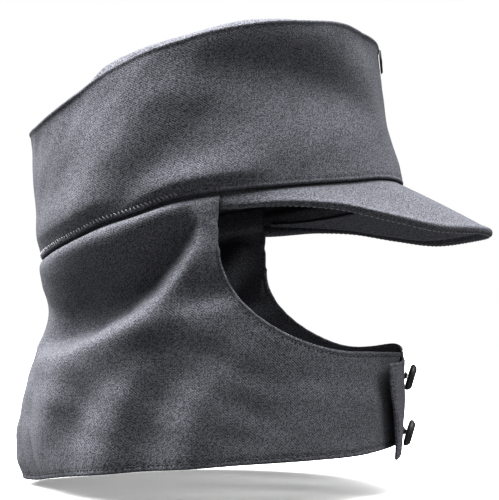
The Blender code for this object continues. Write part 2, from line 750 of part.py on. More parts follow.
def build():
    """Clear the scene and make the cap."""
    for old in list(bpy.data.objects):
        bpy.data.objects.remove(old, do_unlink=True)
    cap = bpy.data.objects.new("cap", None)
    bpy.context.scene.collection.objects.link(cap)
    wool = material("slate wool", (0.095, 0.094, 0.108), 0.92)
    lining = material("dark lining", (0.055, 0.057, 0.063), 0.9)
    plastic = material("dark plastic", (0.045, 0.045, 0.05), 0.45)
    thread = material("grey thread", (0.10, 0.10, 0.10), 0.9)
    metal = material("dull metal", (0.03, 0.03, 0.033), 0.5, 0.6)
    crown_side(cap, wool)
    crown_top(cap, wool)
    neck_flap(cap, wool)
    peak_cover(cap, wool)
    peak_lining(cap, lining)
    top_button = float(opening_height(1.0)) - BUTTON_DEPTH
    button(cap, "button_upper", top_button, plastic, thread)
    button(cap, "button_lower", top_button - BUTTON_SPACING, plastic, thread)
    cockade(cap, metal)


build()
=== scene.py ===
"""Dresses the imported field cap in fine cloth, seams, stitches and buttons, and sets its studio.

Metres, +Z up. The wearer looks along -Y, and the wearer's right is -X. A place round the head is a
turn: 0 at the nape, 1 or -1 at the brow, positive on the wearer's left. Each piece starts from the
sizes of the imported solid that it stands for, and some are fitted closer to the photograph.
"""

import logging
import math
from dataclasses import dataclass
from enum import Enum
from itertools import pairwise
from typing import Any, Iterable, NamedTuple, Sequence

import bmesh
import bpy
import numpy as np
from mathutils import Matrix, Vector


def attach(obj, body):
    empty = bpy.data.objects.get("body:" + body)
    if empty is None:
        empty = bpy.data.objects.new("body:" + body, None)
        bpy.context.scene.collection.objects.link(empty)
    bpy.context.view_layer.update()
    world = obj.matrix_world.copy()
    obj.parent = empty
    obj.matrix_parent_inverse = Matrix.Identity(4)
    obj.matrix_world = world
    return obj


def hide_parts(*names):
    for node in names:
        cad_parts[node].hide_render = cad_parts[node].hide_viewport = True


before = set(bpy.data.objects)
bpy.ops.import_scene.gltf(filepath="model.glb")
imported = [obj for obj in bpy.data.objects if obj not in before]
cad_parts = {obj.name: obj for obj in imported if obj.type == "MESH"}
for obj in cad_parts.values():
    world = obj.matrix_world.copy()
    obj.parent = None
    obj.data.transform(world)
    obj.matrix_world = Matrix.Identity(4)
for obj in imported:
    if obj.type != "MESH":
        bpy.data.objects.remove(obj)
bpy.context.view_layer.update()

BODY = "root"
CLOTH_UV = "cloth"
GAP = 0.0003
MM = 0.001
FIRST_BUTTON = 0.013
BUTTON_PITCH = 0.032

Array = np.ndarray
log = logging.getLogger("cap")


class Slot(Enum):
    """The record's material slots."""

    WOOL = "wool"
    LINING = "lining"
    BUTTON = "button"
    THREAD = "thread"
    COCKADE = "cockade"


class Hold(Enum):
    HUNG = "hung"
    STRETCHED = "stretched"


# Lines, folds and outlines


def mix(start: Any, end: Any, share: Any) -> Any:
    """The value or point at a share of the way from start to end."""
    return start + (end - start) * share


def ease(share: Array | float) -> Array:
    """A share from 0 to 1 that leaves and arrives gently."""
    share = np.clip(share, 0.0, 1.0)
    return share * share * (3.0 - 2.0 * share)


def bell(distance: Array | float, width: float) -> Array:
    """A soft bump that is 1 at no distance and fades over the width."""
    return np.exp(-((np.asarray(distance) / width) ** 2))


@dataclass(frozen=True)
class Line:
    """A smooth line through points, level at both ends."""

    points: tuple[tuple[float, float], ...]

    def __call__(self, place: Array | float) -> Array:
        """The line's height.

        Args:
            place: Where to read the line; beyond its ends it stays level.

        Returns:
            The height at each place.
        """
        xs, ys = np.array(self.points).T
        slopes = np.gradient(ys, xs)
        slopes[0] = slopes[-1] = 0.0
        place = np.clip(place, xs[0], xs[-1])
        i = np.clip(np.searchsorted(xs, place) - 1, 0, len(xs) - 2)
        step = xs[i + 1] - xs[i]
        t = (place - xs[i]) / step
        rise = ys[i + 1] - ys[i]
        bend = t * (t - 1) * ((t - 1) * (slopes[i] * step - rise) + t * (slopes[i + 1] * step - rise))
        return ys[i] + rise * t + bend


class FoldPoint(NamedTuple):
    """One point of a fold: its turn, its level, its lift, and its reach above and below the line."""

    turn: float
    level: float
    lift: float
    above: float
    below: float


@dataclass(frozen=True)
class Folds:
    """A set of folds in a cloth wall, each a crest or a hollow along a line."""

    lines: dict[str, tuple[FoldPoint, ...]]
    lift: float
    reach: float = 0.010

    def at(self, across: Array, up: Array, height: float) -> Array:
        """How far the folds lift the cloth.

        Args:
            across: Distance from the nape round the head, in metres.
            up: Height on the wall, in metres.
            height: The height that a level of 1 stands for, in metres.

        Returns:
            The lift at each place, in metres.
        """
        total = np.zeros(np.broadcast(across, up).shape)
        for points in self.lines.values():
            total = total + self._one(points, across, up, height)
        return total * self.lift

    def _one(self, points: Sequence[FoldPoint], across: Array, up: Array, height: float) -> Array:
        """The lift of one fold, from the stretch of its line that lies nearest to each place.

        Args:
            points: The fold's points, each turn a distance round the head.
            across: Distance from the nape round the head, in metres.
            up: Height on the wall, in metres.
            height: The height that a level of 1 stands for, in metres.

        Returns:
            The lift at each place, in the fold points' own unit.
        """
        nearest = np.full(np.broadcast(across, up).shape, np.inf)
        lift = np.zeros(nearest.shape)
        for start, end in pairwise(points):
            run_across, run_up = end.turn - start.turn, (end.level - start.level) * height
            off_across, off_up = across - start.turn, up - start.level * height
            share = off_across * run_across + off_up * run_up
            share = np.clip(share / (run_across**2 + run_up**2), 0.0, 1.0)
            away = np.hypot(off_across - share * run_across, off_up - share * run_up)
            side = (run_across * off_up - run_up * off_across) * np.sign(run_across or -run_up)
            lean = side / np.maximum(away * math.hypot(run_across, run_up), 1e-9)
            over, under = mix(start.above, end.above, share), mix(start.below, end.below, share)
            reach = mix(under, over, ease(0.5 + 0.5 * lean)) * self.reach
            crest = mix(start.lift, end.lift, share) * bell(away / reach, 1.0)
            lift = np.where(away < nearest, crest, lift)
            nearest = np.minimum(away, nearest)
        return lift

    def around(self, half_girth: float) -> "Folds":
        """The same folds with each turn made a distance round the head.

        Args:
            half_girth: Half the way round the head.

        Returns:
            The folds that at can read.
        """
        lines = {
            name: tuple(point._replace(turn=point.turn * half_girth) for point in points)
            for name, points in self.lines.items()
        }
        return Folds(lines, self.lift, self.reach)


def fold(*rows: tuple[float, float, float, float, float]) -> tuple[FoldPoint, ...]:
    """The points of one fold from its rows."""
    return tuple(FoldPoint(*row) for row in rows)


@dataclass(frozen=True)
class Crumple:
    """Small uneven swells of worn cloth: a fixed sum of waves over its surface."""

    lift: float
    shortest: float
    longest: float
    seed: int
    waves: int = 14

    def at(self, along: Array, up: Array) -> Array:
        """The swell at each place.

        Args:
            along: Distance along the cloth, in metres.
            up: Distance up the cloth, in metres.

        Returns:
            The lift at each place, in metres.
        """
        dice = np.random.default_rng(self.seed)
        total = np.zeros(np.broadcast(along, up).shape)
        for _ in range(self.waves):
            length = self.shortest * (self.longest / self.shortest) ** dice.random()
            way, start = dice.random() * math.tau, dice.random() * math.tau
            phase = (along * math.cos(way) + up * math.sin(way)) * math.tau / length + start
            total = total + np.sin(phase) * length / self.longest
        return total * self.lift * 2.0 / math.sqrt(self.waves)


def egg(turn: Array, half_width: Array, front: Array, rear: Array, corner: Array) -> tuple[Array, ...]:
    """An egg-shaped outline round the head.

    Args:
        turn: The place round the head.
        half_width: Half the outline's width.
        front: Its length from the middle to the brow.
        rear: Its length from the middle to the nape.
        corner: 2 for an ellipse, more for fuller corners.

    Returns:
        X, Y, and the X and Y of the outward direction.
    """
    angle = np.pi * np.asarray(turn, float)
    sine, cosine = np.sin(angle), np.cos(angle)
    length = np.where(cosine > 0, rear, front)
    x = half_width * np.sign(sine) * np.abs(sine) ** (2.0 / corner)
    y = length * np.sign(cosine) * np.abs(cosine) ** (2.0 / corner)
    out_x, out_y = sine / half_width, cosine / length
    size = np.hypot(out_x, out_y)
    return x, y, out_x / size, out_y / size


# Forms: where each cloth's outer face lies


@dataclass(frozen=True)
class CrownForm:
    """The crown's outer faces, from its lower edge to its domed top."""

    half_width: float = 0.0860
    half_length: float = 0.1090
    setback: float = 0.002
    cloth: float = 0.0022
    height: float = 0.104
    puff: float = 0.0015
    rim_tilt: float = 0.044
    top_length: float = 0.2105
    top_width: float = 0.156
    top_setback: float = 0.0128
    top_dome: float = 0.0078
    top_edge: float = 18.0
    top_crease: float = 0.0008
    top_corner: float = 2.3
    nape_corner: float = 0.0015
    nape_reach: float = 0.006
    nape_start: float = 0.55
    nape_run: float = 0.4
    rim_line: Line = Line((
        (-1.00, 0.447), (-0.74, 0.330), (-0.33, 0.200), (-0.15, 0.152),
        (0.11, 0.050), (0.29, -0.085), (0.46, -0.190), (0.71, -0.380), (1.00, -0.545),
    ))
    top_line: Line = Line((
        (-1.00, 0.990), (-0.82, 1.000), (-0.62, 0.978), (-0.38, 0.951), (-0.12, 0.892),
        (0.18, 0.785), (0.53, 0.647), (0.74, 0.556), (0.88, 0.508), (1.00, 0.505),
    ))
    dome_line: Line = Line((
        (-1.00, 0.15), (-0.75, 0.38), (-0.50, 0.78), (-0.20, 1.00),
        (0.10, 1.08), (0.50, 1.22), (0.80, 1.08), (1.00, 0.80),
    ))
    puff_line: Line = Line((
        (-1.00, -1.80), (-0.85, -1.10), (-0.50, 0.40), (0.00, 1.00), (0.60, 0.80), (1.00, 0.30),
    ))
    folds: Folds = Folds(
        {
            "rear light": fold(
                (0.354, 0.92, 0.9, 1.6, 1.6), (0.344, 0.41, 1.2, 1.6, 1.6), (0.315, 0.06, 0.7, 1.4, 1.4)
            ),
            "rear valley": fold(
                (0.300, 0.80, -0.6, 1.4, 1.4), (0.281, 0.50, -1.5, 1.4, 1.4), (0.262, 0.20, -0.5, 1.4, 1.4)
            ),
            "rear skirt": fold(
                (0.080, 0.14, 0.0, 2.0, 0.8), (0.160, 0.14, 3.0, 2.2, 0.9),
                (0.340, 0.14, 4.4, 2.2, 0.9), (0.400, 0.14, 0.0, 1.6, 0.9),
            ),
            "rear lean": fold(
                (0.080, 0.85, 0.0, 1.8, 2.2), (0.160, 0.85, -2.4, 1.8, 2.4), (0.330, 0.95, -4.6, 1.8, 2.6),
                (0.400, 0.98, 0.0, 1.8, 2.2),
            ),
            "temple corner": fold(
                (0.372, 0.10, 1.6, 1.4, 1.1), (0.408, 0.43, 4.0, 1.5, 1.5),
                (0.440, 0.70, 4.8, 1.6, 2.6), (0.476, 0.97, 4.2, 1.6, 3.0),
            ),
            "side hollow": fold(
                (0.560, 0.64, -0.8, 1.4, 1.6), (0.535, 0.48, -2.2, 1.8, 1.8), (0.500, 0.26, -1.4, 1.4, 1.4)
            ),
            "temple ridge": fold(
                (0.380, 0.07, 0.0, 1.2, 0.5), (0.437, 0.085, 3.2, 1.3, 0.5), (0.500, 0.10, 4.0, 1.3, 0.6),
                (0.570, 0.11, 3.0, 1.3, 0.6), (0.640, 0.10, 0.0, 1.2, 0.6),
            ),
            "brow hollow": fold(
                (0.530, 0.72, 0.0, 1.6, 2.0), (0.600, 0.71, -3.8, 1.6, 2.4), (0.684, 0.63, -6.2, 1.8, 2.6),
                (0.760, 0.56, -5.4, 1.7, 2.4), (0.840, 0.46, -2.8, 1.5, 1.8), (0.900, 0.36, 0.0, 1.4, 1.4),
            ),
            "top flare": fold(
                (0.490, 0.98, 0.0, 1.2, 1.4), (0.540, 0.98, 4.4, 1.2, 1.5), (0.660, 0.98, 4.4, 1.2, 1.5),
                (0.760, 0.94, 2.6, 1.2, 1.5), (0.830, 0.88, 0.0, 1.2, 1.2),
            ),
            "brow corner": fold(
                (0.820, 0.98, 0.0, 1.0, 1.2), (0.880, 0.96, -1.8, 1.0, 1.4), (0.960, 0.90, 0.0, 1.0, 1.4)
            ),
        },
        lift=MM,
    )

    @property
    def half_girth(self) -> float:
        """Half the way round the head opening."""
        return math.pi * math.hypot(self.half_length, self.half_width) / math.sqrt(2)

    @property
    def seam_inset(self) -> float:
        """How far inside the side wall's outer face a piece sewn into it lies."""
        return self.cloth + GAP

    def rim(self, turn: Array | float) -> Array:
        """Height of the crown's lower edge."""
        return self.rim_tilt * self.rim_line(np.cos(np.pi * np.asarray(turn, float)))

    def wall(self, turn: Array | float) -> Array:
        """Height of the side wall from its lower edge to its top edge."""
        return self.height * self.top_line(np.cos(np.pi * np.asarray(turn, float))) - self.rim(turn)

    def point(self, turn: Array | float, rise: Array | float, inset: Array | float = 0.0) -> Array:
        """A point of the side wall.

        Args:
            turn: The place round the head.
            rise: 0 at the lower edge and 1 at the top edge.
            inset: How far inside the outer face the point lies.

        Returns:
            The points, with X, Y and Z last.
        """
        turn, rise = np.broadcast_arrays(np.asarray(turn, float), np.asarray(rise, float))
        inside = np.clip(rise, 0.0, 1.0)
        length = mix(self.half_length, self.top_length / 2, rise)
        corner = mix(2.0, self.top_corner, inside)
        width = mix(self.half_width, self.top_width / 2, rise)
        x, y, out_x, out_y = egg(turn, width, length, length, corner)
        z = mix(self.rim(turn), self.height * self.top_line(np.cos(np.pi * turn)), rise)
        puff = self.puff * self.puff_line(np.cos(np.pi * turn)) * np.sin(np.pi * inside)
        across = np.abs(turn) * self.half_girth
        folds = self.folds.around(self.half_girth).at(across, inside * self.height, self.height)
        upper = ease((rise - self.nape_start) / self.nape_run)
        nape = self.nape_corner * bell(turn * self.half_girth, self.nape_reach) * upper
        out = puff + folds + nape - inset
        y = y + mix(self.setback, self.top_setback, rise)
        return np.stack([x + out_x * out, y + out_y * out, z], -1)

    def top_height(self, x: Array, y: Array) -> Array:
        """Height of the domed top panel over its plan.

        Args:
            x: Places across the head.
            y: Places along it.

        Returns:
            The panel's height at each place.
        """
        across = x / (self.top_width / 2 - self.seam_inset)
        along = (y - self.top_setback) / (self.top_length / 2 - self.seam_inset)
        corner = self.top_corner
        reach = (np.abs(across) ** corner + np.abs(along) ** corner) ** (1 / corner)
        dome = self.top_dome * self.dome_line(along) * (1.0 - np.minimum(reach, 1.0) ** self.top_edge)
        return self.height * self.top_line(along) - self.top_crease + dome


@dataclass(frozen=True)
class FlapForm:
    """The neck flap's outer face, tucked into the crown and closed under the chin."""

    crown: CrownForm
    cloth: float = 0.0020
    drop: float = 0.155
    margin: float = 0.010
    roll: float = 0.0042
    bulge: float = 0.0020
    temple: float = 0.5395
    opening_depth: float = 0.0555
    opening_reach: float = 0.2570
    opening_start: float = 0.2
    chin_slope: float = 0.0015
    chin_overlap: float = 0.026
    chin_standoff: float = 0.0042
    chin_slant: float = 0.0065
    left_reach: tuple[float, float] = (0.0185, 0.0050)
    left_bow: float = 0.8
    left_wave: float = 0.0012
    left_waves: float = 0.9
    left_share: tuple[float, float] = (0.55, 0.78)
    hem_line: Line = Line((
        (0.00, 1.000), (0.10, 0.993), (0.20, 0.970), (0.34, 0.929), (0.46, 0.899), (0.59, 0.879),
        (0.70, 0.869), (0.80, 0.864), (0.90, 0.853), (1.00, 0.850), (1.10, 0.850),
    ))
    rear_line: Line = Line((
        (-0.20, 0.977), (0.13, 0.990), (0.22, 0.955), (0.31, 0.938), (0.37, 0.936), (0.43, 0.958),
        (0.54, 1.020), (0.70, 1.083), (0.85, 1.124), (0.92, 1.118), (1.00, 1.080),
    ))
    side_line: Line = Line((
        (-0.20, 0.971), (0.13, 0.976), (0.22, 0.978), (0.31, 0.974), (0.37, 0.970), (0.43, 0.970),
        (0.54, 0.970), (0.70, 0.968), (0.85, 0.960), (0.92, 0.953), (1.00, 0.945),
    ))
    front_line: Line = Line((
        (-0.20, 0.977), (0.13, 0.972), (0.22, 0.970), (0.31, 0.968), (0.37, 0.968), (0.43, 0.968),
        (0.54, 0.952), (0.70, 0.946), (0.85, 0.932), (0.92, 0.922), (1.00, 0.912),
    ))
    left_layer: Line = Line(((0.78, 0.0), (0.89, 1.0), (1.0, 1.0), (1.085, 1.0)))
    left_standoff: Line = Line((
        (0.78, 0.0), (0.89, 0.0), (1.0, -0.1), (1.04, 0.3), (1.09, 0.85), (1.15, 1.0),
    ))
    left_slant: Line = Line((
        (0.70, 0.0), (0.80, 0.5), (0.90, 1.15), (0.95, 0.55), (1.0, -0.64),
        (1.06, -1.1), (1.12, -1.38), (1.16, -1.45),
    ))
    folds: Folds = Folds(
        {
            "roll": fold(
                (0.040, 0.212, 0.0, 0.7, 1.4), (0.150, 0.208, 4.6, 0.8, 1.8), (0.210, 0.192, 6.0, 0.9, 1.8),
                (0.290, 0.150, 7.4, 0.9, 1.7), (0.370, 0.102, 7.4, 0.9, 1.4), (0.430, 0.058, 6.4, 0.8, 1.1),
                (0.485, 0.024, 4.0, 0.7, 0.8), (0.530, 0.000, 1.6, 0.6, 0.7),
            ),
            "sling": fold(
                (0.520, 0.00, 0.0, 0.5, 0.9), (0.520, 0.06, 2.8, 0.5, 1.0), (0.511, 0.155, 4.4, 0.5, 1.0),
                (0.487, 0.243, 5.0, 0.6, 1.1), (0.450, 0.335, 5.2, 0.6, 1.3), (0.410, 0.404, 5.4, 0.6, 1.4),
                (0.354, 0.463, 5.2, 0.6, 1.5), (0.285, 0.510, 4.2, 0.6, 1.6), (0.200, 0.535, 2.6, 0.6, 1.6),
                (0.120, 0.550, 0.0, 0.8, 1.8),
            ),
            "hollow": fold(
                (0.502, -0.02, 0.0, 0.5, 0.5), (0.488, 0.07, -4.6, 0.7, 0.8),
                (0.458, 0.165, -9.0, 1.2, 0.8), (0.416, 0.262, -13.0, 1.7, 0.8),
                (0.360, 0.345, -15.5, 2.1, 0.8), (0.290, 0.408, -15.5, 2.3, 0.7),
                (0.220, 0.448, -11.0, 2.2, 0.7), (0.165, 0.468, -4.6, 1.8, 0.6),
                (0.110, 0.48, 0.0, 1.6, 0.6),
            ),
            "cheek hollow": fold(
                (0.470, 0.340, 0.0, 0.9, 0.5), (0.500, 0.320, -2.6, 1.1, 0.5),
                (0.540, 0.305, -2.6, 1.1, 0.5), (0.585, 0.29, 0.0, 1.0, 0.5),
            ),
            "cheek": fold(
                (0.395, 0.44, 0.0, 0.8, 1.4), (0.440, 0.412, 2.2, 0.8, 2.0), (0.490, 0.395, 3.0, 0.8, 2.4),
                (0.540, 0.382, 2.4, 0.8, 1.8), (0.580, 0.385, 0.0, 0.8, 1.0),
            ),
            "nape flute": fold(
                (0.280, 0.56, 0.6, 1.3, 1.0), (0.250, 0.68, 2.8, 1.4, 1.0), (0.225, 0.78, 1.8, 1.4, 1.0),
                (0.205, 0.88, 0.0, 1.4, 1.1),
            ),
            "nape curl": fold(
                (0.045, 1.00, 0.0, 2.8, 1.0), (0.095, 1.00, -6.5, 3.6, 1.0), (0.160, 1.00, -9.5, 4.0, 1.0),
                (0.230, 1.00, -6.5, 3.2, 1.0), (0.310, 1.00, 0.0, 2.2, 1.0),
            ),
            "nape hollow": fold(
                (0.350, 0.57, 0.0, 0.9, 0.9), (0.330, 0.68, -1.6, 1.0, 0.9), (0.310, 0.82, -2.0, 1.1, 0.9),
                (0.300, 1.05, -1.4, 1.2, 1.0),
            ),
            "ear flute": fold(
                (0.420, 0.51, 0.6, 1.1, 0.8), (0.400, 0.64, 3.4, 1.3, 0.8), (0.385, 0.78, 3.9, 1.4, 0.9),
                (0.374, 0.91, 3.0, 1.4, 1.0), (0.366, 1.05, 1.8, 1.5, 1.1),
            ),
            "ear hollow": fold(
                (0.480, 0.53, 0.0, 0.8, 0.9), (0.458, 0.66, -2.2, 0.8, 1.0), (0.438, 0.82, -2.4, 0.9, 1.0),
                (0.425, 1.05, -1.6, 1.0, 1.1),
            ),
            "jaw flute": fold(
                (0.548, 0.53, 0.4, 1.1, 1.0), (0.524, 0.66, 2.5, 1.2, 1.0), (0.498, 0.82, 2.6, 1.3, 1.1),
                (0.484, 1.05, 1.2, 1.4, 1.2),
            ),
            "jaw hollow": fold(
                (0.630, 0.46, 0.0, 1.0, 1.4), (0.608, 0.60, -1.8, 1.1, 1.6), (0.585, 0.80, -2.0, 1.2, 1.8),
                (0.572, 1.05, -1.0, 1.3, 1.8),
            ),
        },
        lift=MM,
    )

    @property
    def overlap_turn(self) -> float:
        """How far each end reaches past the middle of the chin, as a turn."""
        return self.chin_overlap / self.crown.half_girth

    def end(self, side: int, down: Array | float) -> Array:
        """How far an end reaches, as a turn.

        Args:
            side: -1 for the wearer's right and 1 for the left.
            down: The share of the way down the end's edge.

        Returns:
            The turn at each place.
        """
        down = np.asarray(down, float)
        wave = self.left_wave * np.sin(down * math.tau * self.left_waves)
        more = mix(*self.left_reach, down**self.left_bow) + wave
        return 1.0 + self.overlap_turn + (more / self.crown.half_girth if side > 0 else 0.0)

    def left_drop(self, turn: Array | float, down: Array | float) -> Array:
        """How much higher the left half lies than the right one; less so at its upper edge."""
        return self.chin_slant * self.left_slant(turn) * mix(*self.left_share, down)

    def hem(self, turn: Array | float) -> Array:
        """Height of the hem."""
        return -self.drop * self.hem_line(turn)

    def hanging(self, turn: Array, height: Array) -> Array:
        """A point of the outer face where the flap hangs free of the crown.

        Args:
            turn: The place round the head.
            height: The point's height.

        Returns:
            The points, with X, Y and Z last.
        """
        depth = -height / self.drop
        half_length = self.crown.half_length
        x, y, out_x, out_y = egg(
            turn,
            self.crown.half_width * self.side_line(depth),
            half_length * self.front_line(depth),
            half_length * self.rear_line(depth),
            2.0,
        )
        half_girth = self.crown.half_girth
        out = self.bulge + self.folds.around(half_girth).at(np.abs(turn) * half_girth, height, -self.drop)
        return np.stack([x + out_x * out, y + out_y * out + self.crown.setback, height + 0.0 * x], -1)

    def point(self, turn: Array | float, height: Array | float) -> Array:
        """A point of the outer face: tucked inside the crown, then hanging below it.

        Args:
            turn: The place round the head; on the left end it may pass 1.
            height: The point's height.

        Returns:
            The points, with X, Y and Z last.
        """
        turn, height = np.broadcast_arrays(np.asarray(turn, float), np.asarray(height, float))
        below = self.crown.rim(turn) - height
        tucked = self.crown.point(turn, -below / self.crown.wall(turn), self.crown.seam_inset)
        share = ease((below - 2 * GAP) / self.roll)[..., None]
        over = np.where(turn > 0, turn, 0.0)
        layer = self.left_layer(over) * (self.cloth + 2 * GAP)
        layer = layer + self.left_standoff(over) * self.chin_standoff
        outward = np.stack([np.sin(np.pi * turn), np.cos(np.pi * turn), 0.0 * turn], -1)
        return mix(tucked, self.hanging(turn, height), share) + outward * layer[..., None]

    def opening(self, turn: Array | float) -> Array:
        """Height of the face opening's lower edge: a quarter ellipse, then nearly level to the chin.

        Args:
            turn: The place round the head.

        Returns:
            The height at each place.
        """
        top = mix(self.crown.rim(self.temple), self.hem(self.temple), self.opening_start)
        way = (np.asarray(turn, float) - self.temple) / self.opening_reach
        share, chin = np.clip(way, 0.0, 1.0), np.clip(way - 1.0, 0.0, 1.0)
        return top - self.opening_depth * np.sqrt(1.0 - (1.0 - share) ** 2) - self.chin_slope * chin


@dataclass(frozen=True)
class PeakForm:
    """The peak's upper face and the section of its rolled edge."""

    crown: CrownForm
    flap: FlapForm
    length: float = 0.0512
    flare: float = 0.001
    fall: float = 0.011
    arch: float = 0.0006
    cloth: float = 0.0024
    roll: float = 0.0048
    flange: float = 0.006
    roll_start: float = 1.45
    step: float = 0.0001
    edge_line: Line = Line((
        (0.00, 0.23), (0.28, 0.00), (0.44, 0.10), (0.63, 0.60), (0.80, 1.00), (1.00, 0.87),
    ))

    @property
    def start_turn(self) -> float:
        """Turn of the peak's ends at the temples."""
        return self.flap.temple + 3 * GAP / self.crown.half_girth

    def edge(self, share: Array) -> Array:
        """The outer edge.

        Args:
            share: -1 at one temple, 0 at the tip and 1 at the other temple.

        Returns:
            The points, with X, Y and Z last.
        """
        end = self.crown.point(self.start_turn, 0.0, self.crown.seam_inset)
        brow = self.crown.point(1.0, 0.0)
        angle = np.asarray(share, float) * np.pi / 2
        x = (end[0] + self.flare) * np.sin(angle)
        y = end[1] - (end[1] - brow[1] + self.length) * np.cos(angle)
        return np.stack([x, y, -self.fall * self.edge_line(np.cos(angle))], -1)

    def face(self, turn: Array, across: Array) -> Array:
        """A point of the upper face.

        Args:
            turn: The place round the brow.
            across: 0 at the crown and 1 at the outer edge.

        Returns:
            The points, with X, Y and Z last.
        """
        turn, across = np.broadcast_arrays(np.asarray(turn, float), np.asarray(across, float))
        inner = self.crown.point(turn, 0.0, self.crown.seam_inset)
        outer = self.edge(np.sign(turn) * (1.0 - np.abs(turn)) / (1.0 - self.start_turn))
        point = mix(inner, outer, across[..., None])
        point[..., 2] += self.arch * np.sin(np.pi * np.clip(across, 0.0, 1.0)) - 2 * GAP * (1.0 - across)
        return point

    def point(self, turn: Array, share: Array, roll: Array, height: Array) -> Array:
        """A point at a height over the upper face.

        Args:
            turn: The place round the brow.
            share: The way from the crown to the rolled edge.
            roll: Where the rolled edge starts, in rolls before the outer edge.
            height: The height over the face, in metres.

        Returns:
            The points, with X, Y and Z last.
        """
        width = np.linalg.norm(self.face(turn, 1.0) - self.face(turn, 0.0), axis=-1)
        across = share * (1.0 - roll * self.roll / width)
        along = self.face(turn - self.step, across) - self.face(turn + self.step, across)
        outward = self.face(turn, across + self.step) - self.face(turn, across - self.step)
        normal = np.cross(outward, along)
        normal /= np.linalg.norm(normal, axis=-1, keepdims=True)
        return self.face(turn, across) + normal * np.asarray(height)[..., None]

    def turns(self, count: int, inset: float = 0.0) -> Array:
        """Turns of the sections from the right temple round the brow to the left one.

        Args:
            count: How many sections there are.
            inset: The share that is left out at each end.

        Returns:
            The turns.
        """
        spread = np.linspace(-1.0, 1.0, count) * (1.0 - inset)
        side = np.where(spread < 0, -1.0, 1.0)
        return side * (1.0 - np.abs(spread) * (1.0 - self.start_turn))


# Meshes


def linked(name: str, data: Any) -> bpy.types.Object:
    """A new object in the scene.

    Args:
        name: Its name.
        data: Its mesh, light or camera.

    Returns:
        The object.
    """
    piece = bpy.data.objects.new(name, data)
    bpy.context.scene.collection.objects.link(piece)
    return piece


def make_mesh(name: str, points: Array, faces: Array, uv: Array | None = None) -> bpy.types.Object:
    """Make a smooth mesh object out of points and four-cornered faces.

    Args:
        name: The object's name.
        points: One row a point.
        faces: Four point numbers a face; a three-cornered face repeats its last one.
        uv: One pair a face corner, in metres of cloth, or None.

    Returns:
        The object, linked into the scene.
    """
    triangle = faces[:, 3] == faces[:, 2]
    keep = np.ones(faces.shape, bool)
    keep[triangle, 3] = False
    sizes = np.where(triangle, 3, 4)
    mesh = bpy.data.meshes.new(name)
    mesh.vertices.add(len(points))
    mesh.vertices.foreach_set("co", points.astype(np.float32).ravel())
    mesh.loops.add(int(sizes.sum()))
    mesh.loops.foreach_set("vertex_index", faces[keep].astype(np.int32))
    mesh.polygons.add(len(faces))
    starts = np.concatenate([[0], np.cumsum(sizes)[:-1]])
    mesh.polygons.foreach_set("loop_start", starts.astype(np.int32))
    mesh.update(calc_edges=True)
    if uv is not None:
        layer = mesh.uv_layers.new(name=CLOTH_UV)
        layer.data.foreach_set("uv", uv[keep].astype(np.float32).ravel())
    mesh.validate()
    mesh.shade_smooth()
    return linked(name, mesh)


def point_normals(points: Array, faces: Array) -> Array:
    """The outward direction at each point, from the faces round it.

    Args:
        points: One row a point.
        faces: Four point numbers a face.

    Returns:
        One unit direction a point.
    """
    across = points[faces[:, 2]] - points[faces[:, 0]]
    up = points[faces[:, 3]] - points[faces[:, 1]]
    flat = np.cross(across, up)
    normals = np.zeros(points.shape)
    for corner in range(4):
        np.add.at(normals, faces[:, corner], flat)
    return normals / np.maximum(np.linalg.norm(normals, axis=1, keepdims=True), 1e-12)


